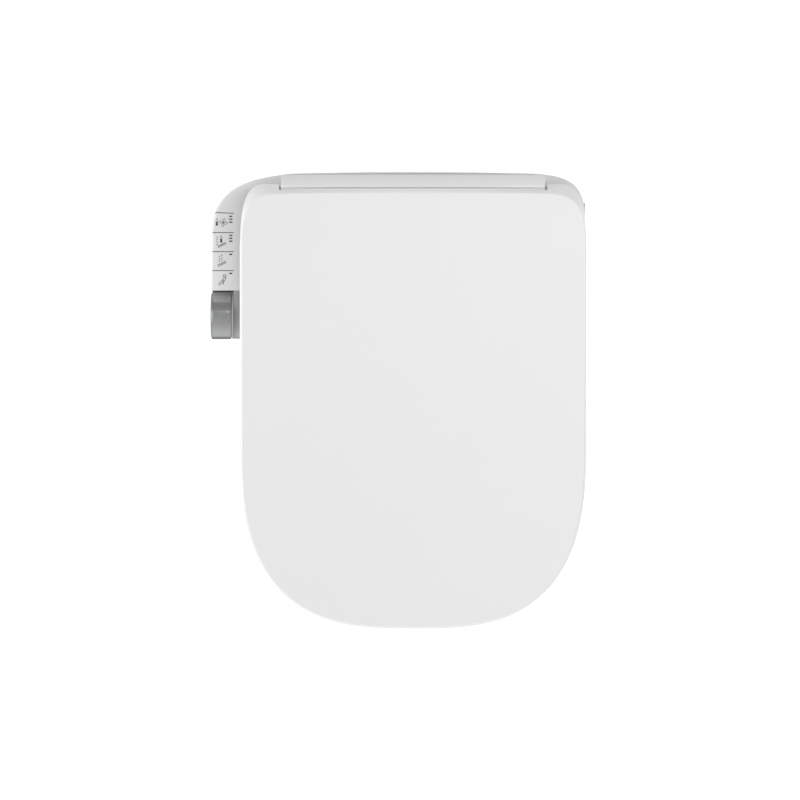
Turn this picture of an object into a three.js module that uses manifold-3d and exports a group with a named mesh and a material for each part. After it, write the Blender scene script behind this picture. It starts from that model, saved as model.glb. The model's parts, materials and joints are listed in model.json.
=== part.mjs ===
// Electric bidet seat: heated ring, wrap-over lid, side control arm with a turning knob.
// Millimetres. +X to the right seen from above, +Y to the rear, +Z up.
// Origin: midway between the two mounting bolts, on the rim of the bowl.
import * as THREE from 'three';
import { mergeVertices } from 'three/addons/utils/BufferGeometryUtils.js';
import Module from 'manifold-3d';

const wasm = await Module();
wasm.setup();

// ---------------------------------------------------------------- driving sizes
const gap = 0.3;                  // between pieces that seat on each other
const runningGap = 1.2;           // around pieces that swing

// Lid outline, seen from above
const lidHalfWidth = 184.4;
const lidFrontY = -435.2;
const lidNoseStartY = -243;       // where the straight sides end
const lidNoseSidePower = 3.0;
const lidNoseFrontPower = 2.6;
const lidRearY = 39;
const lidCornerStartY = -30;
const lidCornerWidth = 26.4;      // from the lid's side to the straight rear edge

// Lid section
const lidWall = 3.2;
const lidTopRearZ = 95;
const lidTopFrontZ = 60;
const lidEdgeRearZ = 57;          // lower edge of the skirt
const lidEdgeFrontZ = 35;
const lidSideBevel = 1.8;
const lidRearBevel = 9.6;
const lidBevelStartY = 29.4;      // the top plane ends here and slopes to the rear edge

// Hinge line shared by seat and lid
const hingeY = 33;
const hingeZ = 70;
const hingePinRadius = 3;
const hingeEyeRadius = 6;
const lidEarWidth = 41.8;         // of the lid beside each end of the hump
const humpRadius = 17.6;
const humpSideGap = 2.1;
const earInnerX = lidHalfWidth - lidEarWidth;
const humpHalfLength = earInnerX - humpSideGap;

// Housing
const housingReveal = 0.8;        // the lid overhangs the housing by this
const housingHalfWidth = lidHalfWidth - housingReveal;
const housingRearY = 52;
const housingFrontY = -74.3;
const housingFloorZ = 4;
const housingWall = 3;
const chassisTopZ = 30;           // parting line between tray and cover
const deckTopZ = 46;              // rear rim, control arm and the deck under the seat arms
const deckEdgeRadius = 6;
const blockEndGap = 16.5;         // from the hump's end to the centre block's side
const blockHalfWidth = humpHalfLength - blockEndGap;
const blockTopZ = 80;
const ledgeTopZ = 62;             // step behind the hinge hump

// Control arm
const armTuck = 3.4;              // under the lid's skirt
const armWidth = 34.4;
const armInnerX = armTuck - lidHalfWidth;
const armOuterX = armInnerX - armWidth;
const armSweepStartY = -15;       // the outer side starts to sweep into the rear edge here

// Knob
const knobRadius = 25.15;
const knobRearGap = 1.55;         // behind the knob
const knobAxisY = housingFrontY - knobRearGap - knobRadius;
const knobAxisZ = deckTopZ - knobRadius;
const knobProud = 1.8;            // beyond the arm's side
const knobOuterX = armOuterX - knobProud;
const knobWidth = 22.3;
const knobWall = 3.5;
const knobCrown = 1.5;            // rise of the rounded end face
const knobPush = 1;
const apronDepth = 3;             // in front of the arm, below the knob's axis
const bezelThickness = 1.7;
const cheekOuterX = knobOuterX + knobWidth + knobPush + bezelThickness + 2 * gap;

// Seat ring
const seatInset = 6.6;            // from the lid's outline
const seatWall = 3;
const seatBaseFrontZ = 17;
const seatBaseRearZ = 22;
const seatCrestFrontZ = 50;
const seatCrestRearZ = 62;
const seatRingRearY = -80;
const openingCentreY = -236;
const openingHalfWidth = 106;
const openingHalfLength = 118;
const openingPower = 2.3;

// Bracket and bolts
const boltSpacing = 140;
const boltRadius = 3.5;
const bracketEnd = 24;            // beyond each bolt
const bracketFlange = 8;
const bracketHalfWidth = boltSpacing / 2 + bracketEnd;
const bracketHalfDepth = 24;
const bracketWaistHalfWidth = bracketHalfWidth - bracketFlange;
const bracketWaistZ = 8;
const bracketTopZ = 12;
const bowlThickness = 26;         // ceramic clamped between bracket and washers

// Spray wand
const wandTilt = THREE.MathUtils.degToRad(15);
const wandRadius = 5.5;
const wandRearGap = 8.5;          // from the wand's end to the back of the housing
const wandLength = (housingRearY - wandRearGap - housingFrontY) / Math.cos(wandTilt);
const wandPortZ = 14;             // height of the wand's axis at the front wall
const tipLength = 16;
const rackModule = 1;
const pinionTeeth = 12;

// Filter cartridge, blower
const filterLength = 58;
const blowerRadius = 33;
const blowerHeight = 33;

// ---------------------------------------------------------------- materials
const finish = (color, roughness, metalness = 0) =>
  new THREE.MeshStandardMaterial({ color, roughness, metalness });
const whiteShell = finish(0xf2f2f1, 0.28);
const whiteMatt = finish(0xe4e4e2, 0.5);
const greyPlastic = finish(0x8d9092, 0.5);
const darkPlastic = finish(0x2f3133, 0.55);
const satinMetal = finish(0xb4b6b8, 0.3, 1);
const steel = finish(0xc3c5c7, 0.32, 1);
const blackRubber = finish(0x222222, 0.85);
const paleRubber = finish(0xd4d4d0, 0.8);
const boardGreen = finish(0x1d5a38, 0.5);
const clearLens = finish(0xdfe6e8, 0.1);
const heaterFoil = finish(0xb98a5a, 0.4, 0.6);
const charcoal = finish(0x3a3d3c, 0.9);

// ---------------------------------------------------------------- solids
function signedVolume(position, triangles) {
  const corner = (k) => new THREE.Vector3().fromArray(position, 3 * triangles[k]);
  let sum = 0;
  for (let i = 0; i < triangles.length; i += 3) {
    sum += corner(i).dot(corner(i + 1).cross(corner(i + 2))) / 6;
  }
  return sum;
}

function toSolid(geometry) {
  const bare = geometry.clone();
  bare.deleteAttribute('normal');
  bare.deleteAttribute('uv');
  const merged = mergeVertices(bare, 1e-4);
  const position = merged.attributes.position.array;
  const triangles = [];
  for (let i = 0; i < merged.index.count; i += 3) {
    const [a, b, c] = merged.index.array.slice(i, i + 3);
    if (a !== b && b !== c && c !== a) triangles.push(a, b, c);
  }
  if (signedVolume(position, triangles) < 0) triangles.reverse();
  return new wasm.Manifold(new wasm.Mesh({
    numProp: 3,
    vertProperties: Float32Array.from(position),
    triVerts: Uint32Array.from(triangles),
  }));
}

function toGeometry(solid) {
  const { vertProperties, triVerts } = solid.getMesh();
  const geometry = new THREE.BufferGeometry();
  geometry.setAttribute('position', new THREE.BufferAttribute(vertProperties, 3));
  geometry.setIndex(new THREE.BufferAttribute(triVerts, 1));
  geometry.computeVertexNormals();
  return geometry;
}

const join = (first, ...rest) => rest.reduce((sum, other) => sum.add(other), first);
const cut = (first, ...rest) => rest.reduce((left, other) => left.subtract(other), first);
const common = (first, other) => first.intersect(other);

// Extrusions along one axis. Profiles are lists of [u, v] pairs.
const asShape = (points) => new THREE.Shape(points.map(([u, v]) => new THREE.Vector2(u, v)));

function extrude(points, depth) {
  return new THREE.ExtrudeGeometry(asShape(points), { depth, bevelEnabled: false });
}

function plate(pointsXY, z0, z1) {
  return toSolid(extrude(pointsXY, z1 - z0).translate(0, 0, z0));
}

function barX(pointsYZ, x0, x1) {
  const turn = new THREE.Matrix4().makeBasis(
    new THREE.Vector3(0, 1, 0), new THREE.Vector3(0, 0, 1), new THREE.Vector3(1, 0, 0));
  return toSolid(extrude(pointsYZ, x1 - x0).applyMatrix4(turn).translate(x0, 0, 0));
}

function barY(pointsXZ, y0, y1) {
  const turn = new THREE.Matrix4().makeBasis(
    new THREE.Vector3(1, 0, 0), new THREE.Vector3(0, 0, 1), new THREE.Vector3(0, -1, 0));
  return toSolid(extrude(pointsXZ, y1 - y0).applyMatrix4(turn).translate(0, y1, 0));
}

const rectangle = (u0, u1, v0, v1) => [[u0, v0], [u1, v0], [u1, v1], [u0, v1]];

function block(x0, x1, y0, y1, z0, z1) {
  return plate(rectangle(x0, x1, y0, y1), z0, z1);
}

// An arc as points, angles in degrees.
function arc(cu, cv, radius, from, to, steps) {
  return Array.from({ length: steps + 1 }, (_, i) => {
    const angle = THREE.MathUtils.degToRad(from + (to - from) * i / steps);
    return [cu + radius * Math.cos(angle), cv + radius * Math.sin(angle)];
  });
}

const circle = (cu, cv, radius, sides = 16) =>
  arc(cu, cv, radius, 0, 360 * (sides - 1) / sides, sides - 1);

function roundedRectangle(u0, u1, v0, v1, radius, steps = 4) {
  return [
    ...arc(u1 - radius, v0 + radius, radius, -90, 0, steps),
    ...arc(u1 - radius, v1 - radius, radius, 0, 90, steps),
    ...arc(u0 + radius, v1 - radius, radius, 90, 180, steps),
    ...arc(u0 + radius, v0 + radius, radius, 180, 270, steps),
  ];
}

const rodX = (y, z, radius, x0, x1, sides) => barX(circle(y, z, radius, sides), x0, x1);
const rodY = (x, z, radius, y0, y1, sides) => barY(circle(x, z, radius, sides), y0, y1);
const rodZ = (x, y, radius, z0, z1, sides) => plate(circle(x, y, radius, sides), z0, z1);

// A turned piece about a vertical axis at x, y. The profile lists [radius, z] and starts and ends on the axis.
function turned(x, y, profile, sides = 16) {
  const points = profile.map(([r, z]) => new THREE.Vector2(r, z));
  return toSolid(new THREE.LatheGeometry(points, sides).rotateX(Math.PI / 2).translate(x, y, 0));
}

function meshFromQuads(points, quads, extraTriangles = []) {
  const geometry = new THREE.BufferGeometry();
  const index = [...extraTriangles];
  for (const [a, b, c, d] of quads) index.push(a, b, c, a, c, d);
  geometry.setAttribute('position', new THREE.Float32BufferAttribute(points.flat(), 3));
  geometry.setIndex(index);
  return toSolid(geometry);
}

// A solid through stacked loops of [x, y, z], lowest first, all with the same number of points.
function stack(loops) {
  const count = loops[0].length;
  const quads = [];
  for (let k = 0; k + 1 < loops.length; k++) {
    for (let i = 0; i < count; i++) {
      const j = (i + 1) % count;
      quads.push([k * count + i, k * count + j, (k + 1) * count + j, (k + 1) * count + i]);
    }
  }
  const cap = (loop) => THREE.ShapeUtils.triangulateShape(
    loop.map(([x, y]) => new THREE.Vector2(x, y)), []);
  const top = (loops.length - 1) * count;
  const caps = [
    ...cap(loops[0]).flatMap(([a, b, c]) => [a, c, b]),
    ...cap(loops.at(-1)).flatMap(([a, b, c]) => [top + a, top + b, top + c]),
  ];
  return meshFromQuads(loops.flat(), quads, caps);
}

// A ring-shaped solid: closed sections of [x, y, z] set one after another around a closed path.
function ringThrough(sections) {
  const count = sections[0].length;
  const quads = [];
  sections.forEach((_, k) => {
    const next = (k + 1) % sections.length;
    for (let i = 0; i < count; i++) {
      const j = (i + 1) % count;
      quads.push([k * count + i, k * count + j, next * count + j, next * count + i]);
    }
  });
  return meshFromQuads(sections.flat(), quads);
}

// Moves each point of a counter-clockwise outline inwards by a distance, which may depend on the point.
function inset(outline, distance) {
  const amount = typeof distance === 'function' ? distance : () => distance;
  return outline.map((point, i) => {
    const before = outline[(i + outline.length - 1) % outline.length];
    const after = outline[(i + 1) % outline.length];
    const along = new THREE.Vector2(after[0] - before[0], after[1] - before[1]).normalize();
    const d = amount(point);
    return [point[0] - along.y * d, point[1] + along.x * d];
  });
}

// A slab over an outline with a rounded top edge. Heights may depend on the point.
function domedSlab(outline, bottom, top, radius, steps = 3) {
  const height = (z, point) => (typeof z === 'function' ? z(point) : z);
  const loops = [outline.map((p) => [...p, height(bottom, p)])];
  for (let k = 0; k <= steps; k++) {
    const angle = Math.PI / 2 * k / steps;
    const loop = inset(outline, radius * (1 - Math.cos(angle)));
    loops.push(loop.map((p, i) => [...p, height(top, outline[i]) - radius * (1 - Math.sin(angle))]));
  }
  return stack(loops);
}

function bezier(start, control1, control2, end, steps) {
  const curve = new THREE.CubicBezierCurve(...[start, control1, control2, end]
    .map(([x, y]) => new THREE.Vector2(x, y)));
  return curve.getPoints(steps).map((p) => [p.x, p.y]);
}

const mirrored = (points) => points.map(([x, y]) => [-x, y]).reverse();
const lerp = THREE.MathUtils.lerp;
const smooth = THREE.MathUtils.smoothstep;

// ---------------------------------------------------------------- assembly
const bidetSeat = new THREE.Group();

function addPiece(name, solid, material, parent = bidetSeat) {
  const mesh = new THREE.Mesh(toGeometry(solid), material);
  mesh.name = name;
  parent.add(mesh);
  return mesh;
}

// ---------------------------------------------------------------- lid
const slope = (rear, front, rearY, frontY) => (y) => lerp(front, rear, (y - frontY) / (rearY - frontY));
const lidTop = slope(lidTopRearZ, lidTopFrontZ, lidBevelStartY, lidFrontY);
const lidEdge = slope(lidEdgeRearZ, lidEdgeFrontZ, lidRearY, lidFrontY);
const earWall = 3;
const notchFrontY = hingeY + 0.6;
const notchRadius = humpRadius + 1;
const noseSteps = 14;
const cornerSteps = 6;

// Half of a flattened oval nose, from its tip round to where the straight side begins.
function nose(halfWidth, frontY) {
  return Array.from({ length: noseSteps + 1 }, (_, i) => {
    const angle = Math.PI / 2 * (1 - i / noseSteps);
    const across = Math.max(Math.cos(angle), 0) ** (2 / lidNoseSidePower);
    const along = Math.sin(angle) ** (2 / lidNoseFrontPower);
    return [halfWidth * across, lerp(lidNoseStartY, frontY, along)];
  });
}

function bothSides(rightHalf) {
  return [...rightHalf, ...mirrored(rightHalf.slice(1))];
}

const lidOutline = bothSides([
  ...nose(lidHalfWidth, lidFrontY),
  ...bezier([lidHalfWidth, lidCornerStartY], [lidHalfWidth - 1, lidCornerStartY + 35],
    [lidHalfWidth - 2.4, lidRearY], [lidHalfWidth - lidCornerWidth, lidRearY], cornerSteps),
]);

// The bevel is narrow along the sides and widens round the corners into the rear slope.
const bevelAt = ([, y]) => lerp(lidSideBevel, lidRearBevel, smooth(y, 0, lidRearY - 3));

function lidLoop(insetAt, heightAt) {
  return inset(lidOutline, insetAt).map((p, i) => [...p, heightAt(lidOutline[i])]);
}

function buildLid() {
  const softening = 1;
  const outside = stack([
    lidLoop(0, ([, y]) => lidEdge(y)),
    lidLoop(0, (p) => lidTop(p[1]) - bevelAt(p) - softening),
    lidLoop(0.3 * softening, (p) => lidTop(p[1]) - bevelAt(p) + 0.15 * softening),
    lidLoop((p) => bevelAt(p) - 0.3 * softening, (p) => lidTop(p[1]) - 0.45 * softening),
    lidLoop((p) => bevelAt(p) + softening, (p) => lidTop(p[1])),
  ]);
  const cornerShare = Math.SQRT2 - 1;
  const hollow = stack([
    lidLoop(lidWall, ([, y]) => lidEdge(y) - 5),
    lidLoop(lidWall, (p) => lidTop(p[1]) - bevelAt(p) - cornerShare * lidWall),
    lidLoop((p) => Math.max(bevelAt(p) + cornerShare * lidWall, lidWall + 0.3),
      (p) => lidTop(p[1]) - lidWall),
  ]);
  const hingeWindow = (side) => block(
    Math.min(side * earInnerX, side * (earInnerX + 24)), Math.max(side * earInnerX, side * (earInnerX + 24)),
    hingeY + 2, lidRearY + 1, 0, hingeZ + hingeEyeRadius + 2);
  let shell = cut(outside, hollow, hingeWindow(1), hingeWindow(-1));

  // Hinge walls: two on each ear, one on each side of the seat's eye.
  const wallProfile = [
    ...arc(hingeY, hingeZ, hingeEyeRadius, -150, 0, 8),
    [lidRearY, 110], [-8, 110], [-8, 82], [hingeY - hingeEyeRadius - 4, hingeZ - 2],
  ];
  for (const side of [1, -1]) {
    for (const wallX of [earInnerX, seatEyeOuterX + runningGap]) {
      const x0 = Math.min(side * wallX, side * (wallX + earWall));
      shell = join(shell, common(barX(wallProfile, x0, x0 + earWall), outside));
    }
  }
  // Stiffening ribs under the top, across the ring's opening.
  const ribDepth = 5;
  for (const ribX of [-60, 0, 60]) {
    const rib = barX([
      [lidFrontY + 60, lidTop(lidFrontY + 60) - lidWall - ribDepth],
      [-70, lidTop(-70) - lidWall - ribDepth / 2], [-70, 110], [lidFrontY + 60, 110],
    ], ribX - 1, ribX + 1);
    shell = join(shell, common(rib, outside));
  }
  const notch = block(-earInnerX, earInnerX, notchFrontY, lidRearY + 1, 0, 110);
  const humpSweep = rodX(hingeY, hingeZ, notchRadius, -earInnerX, earInnerX, 36);
  const pinHole = rodX(hingeY, hingeZ, hingePinRadius + gap, -lidHalfWidth + 8, lidHalfWidth - 8, 20);
  return cut(shell, notch, humpSweep, pinHole);
}

const lidBumperY = -368;

// ---------------------------------------------------------------- seat
const seatEyeInnerX = earInnerX + earWall + runningGap;
const seatEyeOuterX = seatEyeInnerX + 10;
const seatCrest = slope(seatCrestRearZ, seatCrestFrontZ, seatRingRearY, lidFrontY);
const seatBase = slope(seatBaseRearZ, seatBaseFrontZ, seatRingRearY, lidFrontY);
const seatHalfWidth = lidHalfWidth - seatInset;
const seatFrontY = lidFrontY + seatInset;
const lidBumperX = seatHalfWidth - 65.8;
const ringStations = 36;
const armTopZ = hingeZ - 4;
const armBottomZ = deckTopZ + 3;

const seatOutline = bothSides([
  ...nose(seatHalfWidth, seatFrontY),
  ...arc(seatHalfWidth - 26, seatRingRearY - 26, 26, 0, 90, 6),
]);

const openingOutline = Array.from({ length: 72 }, (_, i) => {
  const angle = 2 * Math.PI * i / 72;
  const bend = (v) => Math.sign(v) * Math.abs(v) ** (2 / openingPower);
  return [openingHalfWidth * bend(Math.cos(angle)), openingCentreY + openingHalfLength * bend(Math.sin(angle))];
});

// Where a ray from the opening's centre leaves an outline.
function rayHit(outline, angle) {
  const dx = Math.cos(angle);
  const dy = Math.sin(angle);
  for (let i = 0; i < outline.length; i++) {
    const [ax, ay] = outline[i];
    const [bx, by] = outline[(i + 1) % outline.length];
    const ex = bx - ax;
    const ey = by - ay;
    const cy = ay - openingCentreY;
    const det = ex * dy - ey * dx;
    const along = (ax * dy - cy * dx) / -det;
    const reach = (ex * cy - ey * ax) / det;
    if (reach > 0 && along >= 0 && along < 1) return [ax + ex * along, ay + ey * along];
  }
  throw new Error('no outline point at this angle');
}

// Sections round the ring. The profile gives [distance from the outer edge, height] for a ring width, crest and base.
function seatRing(profile) {
  return ringThrough(Array.from({ length: ringStations }, (_, k) => {
    const angle = 2 * Math.PI * (k + 0.5) / ringStations;
    const outer = rayHit(seatOutline, angle);
    const inner = rayHit(openingOutline, angle);
    const width = Math.hypot(outer[0] - inner[0], outer[1] - inner[1]);
    return profile(width).map(([d, height]) => {
      const x = lerp(outer[0], inner[0], d / width);
      const y = lerp(outer[1], inner[1], d / width);
      return [x, y, height(seatCrest(y), seatBase(y))];
    });
  }));
}

const below = (depth) => (crest) => crest - depth;
const above = (rise) => (crest, base) => base + rise;
const seatLip = 2.3;

const topShellProfile = (w) => [
  [0, above(seatLip)], [0, below(15)], [2.5, below(7.5)], [9, below(2)], [0.34 * w, below(0)],
  [0.62 * w, below(1.6)], [w - 9, below(7)], [w - 2.5, below(13)], [w, below(20)], [w, above(seatLip)],
  [w - seatWall, above(seatLip)], [w - seatWall, below(20)], [w - 9, below(11.2)],
  [0.48 * w, below(0.8 + seatWall)], [10, below(2 + seatWall)], [seatWall, above(seatLip)],
];

const heaterProfile = (w) => [
  [0.2 * w + 5, below(seatWall + 2.2)], [0.48 * w, below(seatWall + 1.4)],
  [0.48 * w, below(seatWall + 2.2)], [0.2 * w + 5, below(seatWall + 3)],
];

const bottomShellProfile = (w) => [
  [0.5, above(0)], [w - 0.5, above(0)], [w - 0.5, above(2)], [w - seatWall - gap, above(2)],
  [w - seatWall - gap, above(7)], [w - seatWall - 2, above(7)], [w - seatWall - 2, above(2)],
  [0.5, above(2)],
];

function seatArm(side) {
  const range = (a, b) => [Math.min(side * a, side * b), Math.max(side * a, side * b)];
  const rootY = seatRingRearY - 14;
  const beam = barX([
    [rootY, armBottomZ], [10, armBottomZ], [14, armTopZ - 6], [10, armTopZ], [-50, armTopZ - 1.5],
    [rootY, seatCrest(rootY) - 3.4],
  ], ...range(seatEyeInnerX - 16, seatEyeOuterX + 14));
  const eye = barX([
    [0, armBottomZ + 1], [14, armBottomZ + 2], [hingeY - 3, hingeZ - hingeEyeRadius + 0.6],
    ...arc(hingeY, hingeZ, hingeEyeRadius, -80, 110, 10), [10, armTopZ],
    [0, armTopZ - 1],
  ], ...range(seatEyeInnerX, seatEyeOuterX));
  const pinHole = rodX(hingeY, hingeZ, hingePinRadius + gap, ...range(seatEyeInnerX - 1, seatEyeOuterX + 1), 20);
  return cut(join(beam, eye), pinHole);
}

function buildSeatTop() {
  return join(seatRing(topShellProfile), seatArm(1), seatArm(-1));
}

addPiece('lid_shell', buildLid(), whiteShell);
addPiece('seat_top_shell', buildSeatTop(), whiteShell);
addPiece('seat_heater', seatRing(heaterProfile), heaterFoil);
addPiece('seat_bottom_shell', seatRing(bottomShellProfile), whiteMatt);

// ---------------------------------------------------------------- housing
const rearCrownHalf = 130;
const rearCrownY = housingRearY - 1.6;

// The plan of the housing and its arm, run past the front wall, which is trimmed off square.
const housingOutline = [
  [housingHalfWidth, housingFrontY - 30],
  ...bezier([housingHalfWidth, 5], [housingHalfWidth, 36], [housingHalfWidth - 13.6, rearCrownY - 1.4],
    [rearCrownHalf, rearCrownY], 8),
  ...bezier([rearCrownHalf, rearCrownY], [rearCrownHalf / 3, housingRearY + 0.5],
    [-rearCrownHalf / 3, housingRearY + 0.5], [-rearCrownHalf, rearCrownY], 4).slice(1, -1),
  ...bezier([-rearCrownHalf, rearCrownY], [armOuterX + 37.4, rearCrownY - 4.4], [armOuterX, 34],
    [armOuterX, armSweepStartY], 11),
  [armOuterX, housingFrontY - 30],
];

const frontTrim = (wall) => block(-300, 300, -300, housingFrontY + wall, -50, 200);

// Centre block, hinge hump and ledge above the deck; a wall thickness gives their hollow.
function upperForms(wall) {
  const sideX = blockHalfWidth - wall;
  const topZ = blockTopZ - wall;
  const frontY = housingFrontY + 2.3 + wall;
  const low = chassisTopZ;
  const profile = barX([
    [frontY, low], [frontY + 5, topZ - 12], ...arc(frontY + 16, topZ - 10, 10, 168, 90, 5),
    [hingeY, topZ], [hingeY + 8, ledgeTopZ - wall], [housingRearY + 2, ledgeTopZ - wall],
    [housingRearY + 2, low],
  ], -sideX, sideX);
  const roundOff = barY(roundedRectangle(-sideX, sideX, low - 20, topZ, 9), -100, 100);
  const endX = humpHalfLength - wall;
  const radius = humpRadius - wall;
  const hump = barX([
    [hingeY - radius, low], ...arc(hingeY, hingeZ, radius, 180, -15, 15),
    [hingeY + radius * 0.955, ledgeTopZ - wall], [housingRearY + 2, ledgeTopZ - wall],
    [housingRearY + 2, low],
  ], -endX, endX);
  const humpEnds = barY(roundedRectangle(-endX, endX, low - 20, hingeZ + radius, 4), -100, 100);
  const footprint = plate(inset(housingOutline, wall + 0.2), low, 120);
  return common(join(common(profile, roundOff), common(hump, humpEnds)), footprint);
}

function cheekProfile() {
  return [
    ...arc(knobAxisY, knobAxisZ, knobRadius, 90, 270, 16),
    [housingFrontY - gap, knobAxisZ - knobRadius], [housingFrontY - gap, chassisTopZ + gap],
    [housingFrontY + 12, chassisTopZ + gap], [housingFrontY + 12, deckTopZ],
  ];
}

// Indicator windows in the arm: rows of three, three, one and one.
const zonePitch = 20.3;
const firstZoneY = 7.6;
const lampRows = [3, 3, 1, 1].flatMap((rows, zone) =>
  Array.from({ length: rows }, (_, row) => firstZoneY - zone * zonePitch - 3.4 - 3.2 * row));
const lampX = armOuterX + 21.4;
const lampLength = 3.2;
const lampWidth = 1.1;

const boardPostRadius = 3;
const mainBoard = { x0: -52, x1: 34, y0: -56, y1: 6, z: 65, thickness: 1.6 };
const boardPosts = [[-46, -50], [28, -50], [-46, 0], [28, 0]];
const displayBoard = {
  x0: armOuterX + 9.4, x1: armOuterX + 27.4, y0: -61, y1: 6, z: deckTopZ - 7.4, thickness: 1.6,
};
const displayPosts = [displayBoard.y0 + 5, displayBoard.y1 - 8].map((y) => [displayBoard.x0 + 3, y]);

function buildTopCover() {
  const outside = join(domedSlab(housingOutline, chassisTopZ + gap, deckTopZ, deckEdgeRadius), upperForms(0));
  const innerOutline = inset(housingOutline, housingWall);
  const inside = join(
    domedSlab(innerOutline, chassisTopZ - 1, deckTopZ - housingWall, deckEdgeRadius - housingWall),
    upperForms(housingWall));
  let cover = cut(cut(outside, frontTrim(0)), cut(inside, frontTrim(housingWall)));
  cover = join(cover, barX(cheekProfile(), cheekOuterX, armInnerX));
  for (const [x, y] of boardPosts) {
    cover = join(cover, rodZ(x, y, boardPostRadius, mainBoard.z + mainBoard.thickness + gap,
      blockTopZ - housingWall + 0.5, 8));
  }
  for (const [x, y] of displayPosts) {
    cover = join(cover, rodZ(x, y, 2.5, displayBoard.z + displayBoard.thickness + gap,
      deckTopZ - housingWall + 0.5, 8));
  }
  const pinHole = rodX(hingeY, hingeZ, hingePinRadius + gap, -humpHalfLength - 1, humpHalfLength + 1, 20);
  const lampSlots = lampRows.map((y) => block(
    lampX - lampLength / 2 - 0.2, lampX + lampLength / 2 + 0.2,
    y - lampWidth / 2 - 0.2, y + lampWidth / 2 + 0.2, deckTopZ - housingWall - 1, deckTopZ + 1));
  return cut(cover, pinHole, ...lampSlots);
}

const channelTopZ = bracketTopZ + 2;
const channelHalfWidth = bracketHalfWidth + 3;
const channelFrontY = -bracketHalfDepth - 4;
const dryer = { x0: 50, x1: 90, z0: 9.5, z1: 25.5 };
const filterBay = { y0: -60, y1: -18, z0: housingFloorZ + housingWall, z1: 24.4 };
const release = { y0: 8, y1: 20, z0: 12, z1: 21 };
const unionAt = { x: 33.6 - housingHalfWidth, y: 22, radius: 10.5 };
const glandAt = { x: housingHalfWidth - 33.6, y: 26, radius: 7 };
const wandFrame = new THREE.Matrix4().makeRotationX(wandTilt).setPosition(0, housingFrontY, wandPortZ);
const tilted = (solid) => toSolid(toGeometry(solid).applyMatrix4(wandFrame));
const tipRadius = 6.5;
const rackHalfWidth = 3;
const rackRoot = 5.8;             // height of the tooth roots above the wand's axis
const addendum = 0.7 * rackModule;
const dedendum = rackModule;

function buildChassis() {
  const wall = housingWall;
  const at = (d, z) => inset(housingOutline, d).map((p) => [...p, z]);
  const outside = cut(stack([
    at(3, housingFloorZ), at(0.9, housingFloorZ + 0.9), at(0, housingFloorZ + 3), at(0, chassisTopZ),
  ]), frontTrim(0));
  const floorTop = housingFloorZ + wall;
  const raised = block(-channelHalfWidth - wall, channelHalfWidth + wall, channelFrontY - wall, 100,
    0, channelTopZ + wall);
  const hollow = cut(stack([at(wall, floorTop), at(wall, chassisTopZ + 1)]), frontTrim(wall), raised);
  const channel = block(-channelHalfWidth, channelHalfWidth, channelFrontY, 100, -1, channelTopZ);
  let tray = cut(outside, hollow, channel);
  // Lips that hook under the bracket's flanges.
  for (const side of [1, -1]) {
    const edge = side * (channelHalfWidth + 0.5);
    const tip = side * (bracketWaistHalfWidth + 1);
    tray = join(tray, block(Math.min(edge, tip), Math.max(edge, tip), channelFrontY, 40,
      housingFloorZ, bracketWaistZ - 0.4));
  }
  // Guides of the filter cartridge.
  for (const y of [filterBay.y0 - gap - 2, filterBay.y1 + gap]) {
    tray = join(tray, block(130, housingHalfWidth - 1, y, y + 2, floorTop - 0.5, floorTop + 6));
  }
  // Apron under the gap between the arm and the knob.
  const apronLowZ = housingFloorZ + 1;
  const apronTopZ = knobAxisZ - knobRadius / 5;
  tray = join(tray, barX([
    [housingFrontY + 1, apronTopZ], [housingFrontY, apronTopZ],
    [housingFrontY - apronDepth, lerp(apronLowZ, apronTopZ, 0.4)], [housingFrontY - apronDepth, apronLowZ + 1],
    [housingFrontY - apronDepth + 1, apronLowZ], [housingFrontY + 1, apronLowZ],
  ], armOuterX + 1, cheekOuterX - gap));
  const port = tilted(join(
    rodY(0, 0, tipRadius + gap, -12, 14, 28),
    block(-rackHalfWidth - 0.5, rackHalfWidth + 0.5, -12, 14, 0, rackRoot + addendum + dedendum + 0.6)));
  return cut(tray, port,
    block(dryer.x0, dryer.x1, housingFrontY - 1, housingFrontY + wall + 1, dryer.z0, dryer.z1),
    block(housingHalfWidth - wall - 1, housingHalfWidth + 1, filterBay.y0, filterBay.y1,
      filterBay.z0, filterBay.z1),
    block(housingHalfWidth - wall - 3, housingHalfWidth + 1, release.y0, release.y1, release.z0, release.z1),
    rodZ(unionAt.x, unionAt.y, unionAt.radius + gap, 0, 10, 20),
    rodZ(glandAt.x, glandAt.y, glandAt.radius + gap, 0, 10, 14));
}

addPiece('top_cover', buildTopCover(), whiteShell);
addPiece('base_chassis', buildChassis(), whiteShell);

// ---------------------------------------------------------------- knob
// A turned piece about an axis along X. The profile lists [radius, x].
function turnedX(y, z, profile, sides = 24) {
  const points = profile.map(([r, x]) => new THREE.Vector2(r, x));
  return toSolid(new THREE.LatheGeometry(points, sides).rotateZ(-Math.PI / 2).translate(0, y, z));
}

const knobInnerX = knobOuterX + knobWidth;
const bezelOuterX = knobInnerX + knobPush + gap;
const knobChamfer = 0.8;
const shaftRadius = 3;
const encoderRadius = 18;

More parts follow.
